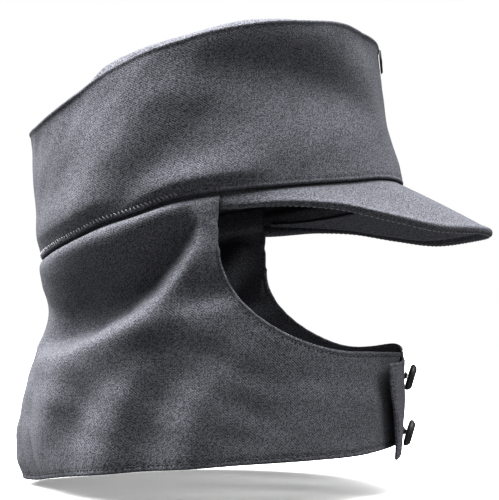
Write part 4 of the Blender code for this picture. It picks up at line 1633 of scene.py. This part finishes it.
@dataclass
class NeckFlap:
    """The neck flap: hollows and folds behind the cheek, stitched edges, and its two ends at the chin."""

    form: FlapForm
    rear_columns: int = 132
    corner_columns: int = 60
    strip_columns: int = 34
    overlap_columns: int = 20
    upper_rows: int = 18
    lower_rows: int = 62
    seam_in: float = 0.0022
    hem_in: float = 0.0032
    groove: float = 0.00026
    groove_width: float = 0.0008
    pucker: float = 0.00020
    pucker_pitch: float = 0.0060
    pucker_reach: float = 0.0045
    still: float = 0.02
    crumple: Crumple = Crumple(0.00050, 0.016, 0.075, 37)

    def turns(self) -> tuple[Array, Array]:
        """Turns of the columns from nape to chin.

        Returns:
            Their turns along the upper edge, and along the hem.
        """
        form = self.form
        rear = form.temple * crowded(self.rear_columns, 0.2, 0.55)[:-1]
        share = np.linspace(0.0, 1.0, self.corner_columns + 1)
        corner = form.temple + form.opening_reach * (1.0 - np.cos(share * np.pi / 2))
        strip_start = form.temple + form.opening_reach
        strip = np.linspace(strip_start, 1.0, self.strip_columns + 1)[1:]
        width = form.overlap_turn - form.cloth / 2 / form.crown.half_girth
        overlap = 1.0 + width * crowded(self.overlap_columns, 0.0, 0.6)[1:]
        edge = np.concatenate([rear, corner, strip, overlap])
        hem = np.concatenate([rear, form.temple + form.opening_reach * share, strip, overlap])
        return edge, hem

    def half(self, side: int) -> tuple[Array, Array, Array]:
        """One side of the flap.

        Args:
            side: -1 for the wearer's right and 1 for the left.

        Returns:
            Columns of points, which of them are there, and their turns.
        """
        form = self.form
        edge, hem = self.turns()
        temple = edge <= form.temple
        round_edge = form.cloth / 2
        top, bottom = form.crown.rim(edge) - 2 * GAP, form.hem(hem) + round_edge
        upper = crowded(self.upper_rows, 0.3, 0.3) * form.opening_start
        lower = crowded(self.lower_rows, 0.6, 0.65)
        start = np.where(temple, mix(top, bottom, form.opening_start), form.opening(edge) - round_edge)
        rows = [mix(top, bottom, share) for share in upper[:-1]]
        rows += [mix(start, bottom, share) for share in lower]
        height = np.stack(rows, 1)
        turn_share = np.concatenate([upper[:-1], mix(form.opening_start, 1.0, lower)])
        free_share = np.concatenate([0.0 * upper[:-1], lower])
        share = np.where(temple[:, None], turn_share, free_share)
        turn = mix(edge[:, None], hem[:, None], share)
        past = np.maximum(turn - 1.0, 0.0) / form.overlap_turn
        turn = turn + past * (form.end(side, share) - 1.0 - form.overlap_turn)
        if side > 0:
            height = height + form.left_drop(turn, share)
        points = form.point(side * turn, height)
        reaches = (form.margin, form.margin / 2)
        tucks = [form.point(side * edge, form.crown.rim(edge) + reach)[:, None] for reach in reaches]
        points = np.concatenate([*tucks, points], axis=1)
        there = np.ones(points.shape[:2], bool)
        there[~temple, : len(tucks) + self.upper_rows] = False
        turn = np.concatenate([turn[:, :1]] * len(tucks) + [turn], axis=1)
        return points, there, side * turn

    def build(self) -> Wall:
        """Shape the flap.

        Returns:
            The cloth wall, still without its thickness.
        """
        crown = self.form.crown
        right, left = self.half(-1), self.half(1)
        points, there, turn = (np.concatenate([a[:0:-1], b]) for a, b in zip(right, left))
        numbers = np.full(there.shape, -1)
        numbers[there] = np.arange(there.sum())
        down = path_lengths(points)
        flat = points[there]
        uv = np.stack([turn * crown.half_girth, down[:, -1:] - down], -1)[there]
        shape = Wall(flat, grid_faces(numbers), uv, np.full(len(flat), self.form.cloth))
        rim = shape.rim_edges()
        starts = rim[:, 0]
        tucked = rim[flat[starts][:, 2] > crown.rim(uv[starts, 0] / crown.half_girth), 0]
        edge_way = distance_to(flat, flat[np.setdiff1d(np.unique(rim), tucked)])
        below = crown.rim(turn[there]) - flat[:, 2]
        inset = np.where(uv[:, 1] < 2.0 * self.hem_in, self.hem_in, self.seam_in) - self.form.cloth / 2
        stitched = bell(edge_way - inset, self.groove_width)
        ripple = np.sin(uv[:, 0] / self.pucker_pitch * math.tau + 2.3 * np.sin(uv[:, 0] * 47.0))
        lift = self.crumple.at(uv[:, 0], uv[:, 1]) * ease(below / self.still) * ease(edge_way / self.still)
        lift = lift + self.pucker * ripple * bell(edge_way - inset, self.pucker_reach) * ease(below / 0.01)
        return shape.shaped(lift, self.groove * stitched * ease(below / 0.004))

    def hem_row(self) -> Row:
        """The row sewn along the hem.

        Returns:
            The row, from the right end to the left one.
        """
        ends = 1.0 + self.form.overlap_turn
        turns = np.linspace(-ends, ends, 1200)
        slant = self.form.left_drop(np.maximum(turns, 0.0), 1.0)
        return self.row(turns, self.form.hem(np.abs(turns)) + self.hem_in + slant)

    def opening_row(self, side: int) -> Row:
        """The row sewn along the face opening.

        Args:
            side: -1 for the wearer's right and 1 for the left.

        Returns:
            The row, from the crown down and forward to the chin.
        """
        form, girth = self.form, self.form.crown.half_girth
        top, start = form.crown.rim(form.temple) - 0.003, form.opening(form.temple)
        drop = mix(top, start, np.linspace(0.0, 1.0, 60))[:-1]
        angle = np.linspace(0.0, 1.0, 420) * np.pi / 2
        turn = form.temple + form.opening_reach * (1.0 - np.cos(angle))
        height = form.opening(turn)
        run, rise = np.gradient(turn) * girth, np.gradient(height)
        size = np.hypot(run, rise)
        turn = turn + rise / size * self.seam_in / girth
        height = height - run / size * self.seam_in
        chin = np.linspace(form.temple + form.opening_reach, 1.0 + form.overlap_turn, 160)[1:]
        turns = np.concatenate([np.full(len(drop), form.temple - self.seam_in / girth), turn, chin])
        heights = np.concatenate([drop, height, form.opening(chin) - self.seam_in])
        if side > 0:
            heights = heights + form.left_drop(turns, 0.0)
        return self.row(side * turns, heights)

    def end_row(self, side: int) -> Row:
        """The row sewn down one end, under the chin.

        Args:
            side: -1 for the wearer's right and 1 for the left.

        Returns:
            The row.
        """
        form = self.form
        down = np.linspace(0.0, 1.0, 120)
        turns = form.end(side, down) - self.seam_in / form.crown.half_girth
        heights = mix(form.opening(turns) - self.seam_in, form.hem(turns) + self.hem_in, down)
        if side > 0:
            heights = heights + form.left_drop(turns, down)
        return self.row(side * turns, heights)

    def row(self, turns: Array, heights: Array) -> Row:
        """A row on the outer face."""
        return Row(self.form.point(turns, heights), outward_of(self.form.point, turns, heights))


def smoothed(pairs: Sequence[tuple[float, float]], steps: int) -> tuple[Array, Array]:
    """A line of pairs with smooth steps between them.

    Args:
        pairs: The line's pairs.
        steps: How many steps lead from one pair to the next.

    Returns:
        The first values and the second values.
    """
    table = np.array(pairs)
    place = np.arange(len(table), dtype=float)
    fine = np.linspace(0.0, place[-1], (len(table) - 1) * steps + 1)
    return tuple(Line(tuple(zip(place, table[:, column])))(fine) for column in (0, 1))


@dataclass
class Peak:
    """The covered peak: a stiff leaf with a thick rolled edge, and the leaf under it."""

    form: PeakForm
    sections: int = 181
    rows: int = 15
    lining: float = 0.0017
    lining_inset: float = 0.03
    lining_rows: int = 14
    lining_span: tuple[float, float] = (0.06, 0.99)
    stitch_in: float = 0.14
    roll_steps: int = 3
    roll_line: tuple[tuple[float, float], ...] = (
        (1.45, 0.00), (1.20, 0.05), (0.90, 0.15), (0.55, 0.24), (0.28, 0.16),
        (0.10, -0.12), (0.00, -0.52), (-0.02, -0.88), (0.04, -1.22), (0.16, -1.52),
        (0.38, -1.78), (0.66, -1.88), (0.95, -1.72), (1.20, -1.42), (1.45, -1.14),
    )

    def section(self, turn: Array) -> Array:
        """Points round one section or many, from the inner top, over the edge, to the inner bottom.

        Args:
            turn: The sections' turns.

        Returns:
            Sections of points.
        """
        form = self.form
        swell = form.roll - form.cloth
        flange = form.flange / form.crown.wall(turn)
        inset = form.crown.seam_inset
        shares, level = np.linspace(0.0, 1.0, self.rows + 1)[:-1], 0.0 * turn
        rolled = zip(*smoothed(self.roll_line, self.roll_steps))
        over = [form.point(turn, share, form.roll_start, level) for share in shares]
        edge = [form.point(turn, 1.0, roll, height * swell + level) for roll, height in rolled]
        under = [form.point(turn, share, form.roll_start, level - form.cloth) for share in shares[::-1]]
        tuck = [
            form.crown.point(turn, share * flange, inset + depth)
            for share, depth in ((0.5, form.cloth), (1.0, form.cloth), (1.0, 0.0), (0.5, 0.0))
        ]
        return np.stack([*over, *edge, *under, *tuck], 1)

    def build(self) -> bpy.types.Object:
        """The covered leaf, closed all round."""
        return self.closed("peak_wool", self.section(self.form.turns(self.sections)))

    def closed(self, name: str, points: Array) -> bpy.types.Object:
        """Make a closed body through sections, with a fan over each end.

        Args:
            name: The object's name.
            points: Sections of points, each a ring.

        Returns:
            The body.
        """
        count, around = points.shape[:2]
        numbers = np.arange(count * around).reshape(count, around)
        following = np.roll(numbers, -1, axis=1)
        side = np.stack([numbers[:-1], following[:-1], following[1:], numbers[1:]], -1).reshape(-1, 4)
        hubs = points[[0, -1]].mean(axis=1)
        first, last = count * around, count * around + 1
        fans = [
            np.stack([following[0], numbers[0], np.full(around, first), np.full(around, first)], 1),
            np.stack([numbers[-1], following[-1], np.full(around, last), np.full(around, last)], 1),
        ]
        flat = np.concatenate([points.reshape(-1, 3), hubs])
        along = path_lengths(points[:, 0])[:, None] + 0.0 * points[..., 0]
        uv = np.stack([along, path_lengths(points)], -1).reshape(-1, 2)
        uv = np.concatenate([uv, uv[[0, -1]]])
        faces = np.concatenate([side, *fans])
        piece = make_mesh(name, flat, faces, uv[faces])
        recalculate(piece)
        return piece

    def build_lining(self) -> bpy.types.Object:
        """Make the leaf under the peak, closed all round.

        Returns:
            The leaf.
        """
        form = self.form
        turns = form.turns(self.sections, inset=self.lining_inset)
        shares, level = np.linspace(*self.lining_span, self.lining_rows), 0.0 * turns
        top, bottom = level - form.cloth - GAP, level - form.cloth - GAP - self.lining
        over = [form.point(turns, share, form.roll_start, top) for share in shares]
        under = [form.point(turns, share, form.roll_start, bottom) for share in shares[::-1]]
        return self.closed("peak_lining_cloth", np.stack([*over, *under], 1))

    def stitch_row(self) -> Row:
        """The row sewn along the rolled edge, at its lower corner.

        Returns:
            The row, which faces down.
        """
        form = self.form
        turns = form.turns(700, inset=0.012)
        swell = form.roll - form.cloth
        rolls, heights = smoothed(self.roll_line, self.roll_steps)
        under = slice(len(rolls) // 2, None)
        height = np.interp(self.stitch_in, rolls[under], heights[under]) * swell
        points = form.point(turns, 1.0, self.stitch_in, height + 0.0 * turns)
        deeper = form.point(turns, 1.0, self.stitch_in, height - MM + 0.0 * turns)
        return Row(points, (deeper - points) / MM)


@dataclass
class Turner:
    """Round pieces, made by one tree from their profiles."""

    tree: Tree

    def turn(
        self, name: str, profile: Sequence[tuple[float, float]], place: Matrix, **sizes: float
    ) -> bpy.types.Object:
        """Turn a profile and stand it in place.

        Args:
            name: The piece's name.
            profile: Pairs of radius and height, as shares of the piece's, from the axis to the axis.
            place: Where the piece's own origin and axes go.
            sizes: The tree's named inputs, in lower case with _ for each space.

        Returns:
            The piece, with its place in its mesh.
        """
        mesh = bpy.data.meshes.new(name)
        mesh.from_pydata([(radius, 0.0, height) for radius, height in profile], [], [])
        piece = linked(name, mesh)
        self.tree.apply(piece, rows=len(profile), **sizes)
        piece.data.transform(place)
        recalculate(piece, weld=1e-6)
        return piece


def recalculate(piece: bpy.types.Object, weld: float = 0.0) -> None:
    """Point a closed piece's faces outwards.

    Args:
        piece: The piece.
        weld: How close points are merged first, in metres, or 0.
    """
    shape = bmesh.new()
    shape.from_mesh(piece.data)
    if weld:
        bmesh.ops.remove_doubles(shape, verts=shape.verts, dist=weld)
    bmesh.ops.recalc_face_normals(shape, faces=shape.faces)
    shape.to_mesh(piece.data)
    shape.free()
    piece.data.shade_smooth()


def standing(seat: Vector, axis: Vector) -> Matrix:
    """The place of a piece whose own Z points along an axis from a seat."""
    return Matrix.Translation(seat) @ Vector(axis).to_track_quat("Z", "Y").to_matrix().to_4x4()


def rounded(profile: Sequence[tuple[float, float]], steps: int = 3) -> list[tuple[float, float]]:
    """A profile with smooth steps between its points."""
    return [(float(abs(radius)), float(height)) for radius, height in zip(*smoothed(profile, steps))]


@dataclass
class ChinButton:
    """A four-hole button that droops on a wound thread shank."""

    name: str
    flap: FlapForm
    height: float
    diameter: float = 0.0155
    thickness: float = 0.0042
    droop: float = math.radians(17)
    shank_length: float = 0.0014
    shank_diameter: float = 0.0034
    hole: float = 0.0018
    hole_spacing: float = 0.0030
    strand: float = 0.00035
    strand_height: float = 0.74
    shank_rows: int = 26
    profile: tuple[tuple[float, float], ...] = (
        (0.00, 0.72), (0.25, 0.72), (0.42, 0.74), (0.54, 0.88), (0.66, 0.98), (0.80, 0.90), (0.92, 0.68),
        (1.00, 0.40), (0.97, 0.18), (0.86, 0.06), (0.60, 0.00), (0.30, 0.00), (0.00, 0.00),
    )

    @property
    def axis(self) -> Vector:
        """The way the button faces."""
        return Vector((0.0, -math.cos(self.droop), -math.sin(self.droop)))

    @property
    def seat(self) -> Vector:
        """Where the shank leaves the cloth."""
        clear = GAP + math.sin(self.droop) * self.shank_diameter / 2
        return Vector(self.flap.point(1.0, self.height)) + self.axis * clear

    @property
    def place(self) -> Matrix:
        """The disc's place on its shank."""
        return standing(self.seat + self.axis * (self.shank_length + GAP), self.axis)

    def build(self, turner: Turner, finish: bpy.types.Material) -> bpy.types.Object:
        """The button's disc with its holes cut through.

        Args:
            turner: What turns the disc.
            finish: The disc's material.

        Returns:
            The disc.
        """
        disc = turner.turn(
            f"{self.name}_disc",
            rounded(self.profile),
            self.place,
            radius=self.diameter / 2,
            thickness=self.thickness,
            steps=65,
            material=finish,
        )
        shape = bmesh.new()
        for x, y in self.holes():
            at = self.place @ Matrix.Translation((x, y, self.thickness / 2))
            bmesh.ops.create_cone(
                shape,
                cap_ends=True,
                segments=16,
                radius1=self.hole / 2,
                radius2=self.hole / 2,
                depth=self.thickness * 2,
                matrix=at,
            )
        mesh = bpy.data.meshes.new("holes")
        shape.to_mesh(mesh)
        shape.free()
        cutter = linked("holes", mesh)
        cut = disc.modifiers.new("holes", "BOOLEAN")
        cut.operation = "DIFFERENCE"
        cut.solver = "EXACT"
        cut.object = cutter
        settle(disc, cut)
        disc.data.set_sharp_from_angle(angle=math.radians(40))
        bpy.data.objects.remove(cutter, do_unlink=True)
        return disc

    def holes(self) -> list[tuple[float, float]]:
        """The four holes' places on the disc."""
        half = self.hole_spacing / 2
        return [(x, y) for x in (-half, half) for y in (-half, half)]

    def build_shank(self, turner: Turner, finish: bpy.types.Material) -> bpy.types.Object:
        """Turn the wound thread between the cloth and the disc.

        Args:
            turner: What turns the shank.
            finish: The thread's material.

        Returns:
            The shank.
        """
        profile = [(0.0, -0.25)]
        for i in range(self.shank_rows + 1):
            share = i / self.shank_rows
            ridge = 0.06 * abs(math.sin(share * math.pi * 5.0))
            profile.append((1.0 + 1.1 * (1.0 - share) ** 1.8 - 0.1 * share + ridge, -0.25 + 1.40 * share))
        profile.append((0.0, 1.15))
        return turner.turn(
            f"{self.name}_shank",
            profile,
            standing(self.seat, self.axis),
            radius=self.shank_diameter / 2 * 0.85,
            thickness=self.shank_length,
            steps=29,
            ridges=9.0,
            ridge_depth=0.00016,
            material=finish,
        )

    def threads(self) -> list[Row]:
        """Two bars of thread across the holes on the disc's face.

        Returns:
            Three rows a bar.
        """
        rows, half, height = [], self.hole_spacing / 2, self.thickness * self.strand_height
        for x in (-half, half):
            for side in (-self.strand, 0.0, self.strand):
                line = [Vector((x + side, y, height)) for y in np.linspace(-half, half, 4)]
                points = np.array([self.place @ point for point in line])
                rows.append(Row(points, np.tile(np.array(self.axis), (len(points), 1))))
        return rows

    def buttonhole(self, width: float = 0.017, lip: float = 0.0011, count: int = 96) -> Row:
        """The row round the worked hole that the shank comes through.

        Args:
            width: The hole's width.
            lip: How far the row stands from the hole's middle line.
            count: How many places it has.

        Returns:
            The row.
        """
        girth = self.flap.crown.half_girth
        angle = np.linspace(0.0, math.tau, count)
        across = np.sign(np.cos(angle)) * np.abs(np.cos(angle)) ** 0.6 * width / 2 - 0.002
        turns, heights = 1.0 + across / girth, self.height + np.sin(angle) * lip
        heights = heights + (self.flap.left_drop(turns, 0.5) - self.flap.left_drop(1.0, 0.5))
        return Row(self.flap.point(turns, heights), outward_of(self.flap.point, turns, heights))


@dataclass
class Cockade:
    """The plain round piece on the front of the crown."""

    crown: CrownForm
    diameter: float = 0.014
    thickness: float = 0.0014
    depth: float = 0.0095
    profile: tuple[tuple[float, float], ...] = (
        (0.00, 1.00), (0.18, 0.98), (0.32, 0.86), (0.40, 0.62), (0.46, 0.50), (0.52, 0.62), (0.58, 0.72),
        (0.64, 0.62), (0.70, 0.50), (0.76, 0.62), (0.84, 0.84), (0.92, 0.80), (1.00, 0.45), (1.00, 0.00),
        (0.50, 0.00), (0.00, 0.00),
    )

    def build(self, turner: Turner, finish: bpy.types.Material) -> bpy.types.Object:
        """Turn the disc and stand it on the crown's front.

        Args:
            turner: What turns the disc.
            finish: Its material.

        Returns:
            The disc.
        """
        wall = self.crown.height - self.crown.rim(1.0)
        rise, reach = 1.0 - self.depth / wall, self.diameter / 2 / wall
        low, seat, high = (Vector(self.crown.point(1.0, rise + step)) for step in (-reach, 0.0, reach))
        axis = Vector((1.0, 0.0, 0.0)).cross(high - low).normalized()
        if axis.y > 0:
            axis.negate()
        return turner.turn(
            "front_cockade",
            rounded(self.profile),
            standing(seat + axis * 2 * GAP, axis),
            radius=self.diameter / 2,
            thickness=self.thickness,
            steps=73,
            material=finish,
        )


# Studio


@dataclass(frozen=True)
class Lamp:
    """A soft light far away, seen from the cap: 0 is the camera's side, 90 the picture's left."""

    name: str
    bearing: float
    height: float
    spread: float
    strength: float

    def hang(self) -> None:
        """Put the light in the scene."""
        data = bpy.data.lights.new(self.name, "SUN")
        data.angle = math.radians(self.spread)
        data.energy = self.strength * math.pi
        bearing, height = math.radians(self.bearing), math.radians(self.height)
        level = math.cos(height)
        way = Vector((-math.cos(bearing) * level, math.sin(bearing) * level, math.sin(height)))
        linked(self.name, data).matrix_world = standing(Vector(), way)


@dataclass
class Studio:
    """The camera at the photograph's angle, soft lights, and a pale floor and surround."""

    eye: tuple[float, float, float] = (-0.64003, -0.11637, -0.06884)
    yaw: float = math.radians(9)
    pitch: float = math.atan2(0.051, 0.65)
    lens: float = 78.0
    floor: float = -0.158
    floor_glow: float = 0.4
    lamps: tuple[Lamp, ...] = (
        Lamp("top light", 0, 90, 60, 3.0),
        Lamp("left light", 90, 40, 40, 2.5),
        Lamp("right light", 270, 45, 40, 0.75),
        Lamp("bounced light", 0, -70, 90, 0.24),
    )
    fill: float = 0.15
    contrast: float = 1.2

    def place_camera(self) -> None:
        """Set up the camera."""
        cos, sin = math.cos, math.sin
        look = Vector((cos(self.yaw) * cos(self.pitch), sin(self.yaw) * cos(self.pitch), sin(self.pitch)))
        right = look.cross(Vector((0.0, 0.0, 1.0))).normalized()
        up = right.cross(look)
        data = bpy.data.cameras.new("camera")
        data.lens = self.lens
        data.sensor_width = 36.0
        data.clip_start = 0.01
        camera = linked("camera", data)
        turn = Matrix((right, up, -look)).transposed().to_4x4()
        camera.matrix_world = Matrix.Translation(self.eye) @ turn
        bpy.context.scene.camera = camera

    def light(self) -> None:
        """Hang the lights and set the surround."""
        for lamp in self.lamps:
            lamp.hang()
        world = bpy.data.worlds.new("surround")
        world.use_nodes = True
        nodes, links = world.node_tree.nodes, world.node_tree.links
        nodes.clear()
        path = nodes.new("ShaderNodeLightPath")
        strength = nodes.new("ShaderNodeMapRange")
        strength.inputs["To Min"].default_value = self.fill
        strength.inputs["To Max"].default_value = 1.0
        links.new(path.outputs["Is Camera Ray"], strength.inputs["Value"])
        ground = nodes.new("ShaderNodeBackground")
        ground.inputs["Color"].default_value = (1.0, 1.0, 1.0, 1.0)
        links.new(strength.outputs[0], ground.inputs["Strength"])
        end = nodes.new("ShaderNodeOutputWorld")
        links.new(ground.outputs[0], end.inputs["Surface"])
        scene = bpy.context.scene
        scene.world = world
        scene.view_settings.view_transform = "Standard"
        scene.view_settings.gamma = 1.0 / self.contrast

    def lay_floor(self) -> None:
        """Lay the pale floor, which throws no light back up at the cap."""
        reach = 6.0
        corners = np.array([(-reach, -reach), (reach, -reach), (reach, reach), (-reach, reach)])
        points = np.column_stack([corners, np.full(4, self.floor)])
        floor = make_mesh("floor", points, np.array([[0, 1, 2, 3]]))
        board = Shader("pale floor")
        place = board.add("ShaderNodeTexCoord").outputs["Object"]
        tone = board.blend(board.noise(place, 3.0), grey(0.80), grey(0.84))
        glow = {"Emission_Color": tone, "Emission_Strength": self.floor_glow}
        pale = board.close(None, 0.0, Base_Color=tone, Roughness=0.9, Specular_IOR_Level=0.1, **glow)
        floor.data.materials.append(pale)
        floor.visible_diffuse = floor.visible_glossy = floor.visible_shadow = False


def main() -> None:
    """Build the cap's pieces in order, dress them and report each one."""
    logging.basicConfig(level=logging.INFO, format="%(name)s %(message)s")
    studio = Studio()
    studio.place_camera()
    studio.light()
    studio.lay_floor()

    wool = WoolTwill().make()
    # The peak's lining is the same grey wool twill, made lighter here: painted light standing in for light
    # bounced up under the peak.
    lining = WoolTwill("peak lining twill", dark=0.055, light=0.34).make()
    plastic = Moulded("dark button", (0.040, 0.040, 0.044), 0.42).make()
    metal = Moulded("dull cockade metal", (0.045, 0.045, 0.048), 0.5, 0.7).make()
    thread = SewingThread("light grey thread", 0.50).make()
    dark_thread = SewingThread("dark thread", 0.075).make()

    crown, sewing, turner = CrownForm(), Sewing(stitch_tree(), thread), Turner(turned_tree())
    flap = FlapForm(crown)
    peak_form = PeakForm(crown, flap)

    side = CrownSide(crown)
    side_wool = dress(side.build().build("crown_side_wool"), wool, Slot.WOOL, ["crown_side"])
    top_wool = dress(CrownTop(crown).build().build("crown_top_wool"), wool, Slot.WOOL, ["crown_top"])
    neck = NeckFlap(flap)
    neck_wool = dress(neck.build().build("neck_flap_wool"), wool, Slot.WOOL, ["neck_flap"])
    peak = Peak(peak_form)
    dress(peak.build(), wool, Slot.WOOL, ["peak_cover"])
    dress(peak.build_lining(), lining, Slot.LINING, ["peak_lining"])

    quiet = Sewing(sewing.tree, dark_thread)
    slanted = {"pitch": 0.0024, "length": 0.0024, "thread": 0.0008, "slant": -1.15, "wobble": 0.3}
    sewing.sew("rim_stitches", [side.stitch_row(0.475)], **slanted)
    quiet.sew("hem_stitches", [neck.hem_row()], pitch=0.0028, length=0.0021, thread=0.0005)
    edges = [row(hand) for row in (neck.opening_row, neck.end_row) for hand in (-1, 1)]
    quiet.sew("opening_stitches", edges, pitch=0.0026, length=0.0020, thread=0.0005)
    sewing.sew("peak_stitches", [peak.stitch_row()], pitch=0.0031, length=0.0026, thread=0.0007, sink=0.0)

    tight = {"pitch": 0.0006, "length": 0.0016, "thread": 0.00045, "slant": 1.45}
    first = float(flap.opening(1.0)) - FIRST_BUTTON
    for name, height in (("upper_button", first), ("lower_button", first - BUTTON_PITCH)):
        button = ChinButton(name, flap, height)
        node = "_".join(reversed(name.split("_")))
        dress(button.build(turner, plastic), plastic, Slot.BUTTON, [node])
        dress(button.build_shank(turner, dark_thread), dark_thread, Slot.THREAD, [f"{node}_shank"])
        quiet.sew(f"{name}_threads", button.threads(), pitch=0.0010, length=0.0014, thread=0.0004)
        quiet.sew(f"{name}_hole_stitches", [button.buttonhole()], **tight)
    dress(Cockade(crown).build(turner, metal), metal, Slot.COCKADE, ["cockade"])


if __name__ == "__main__":
    main()
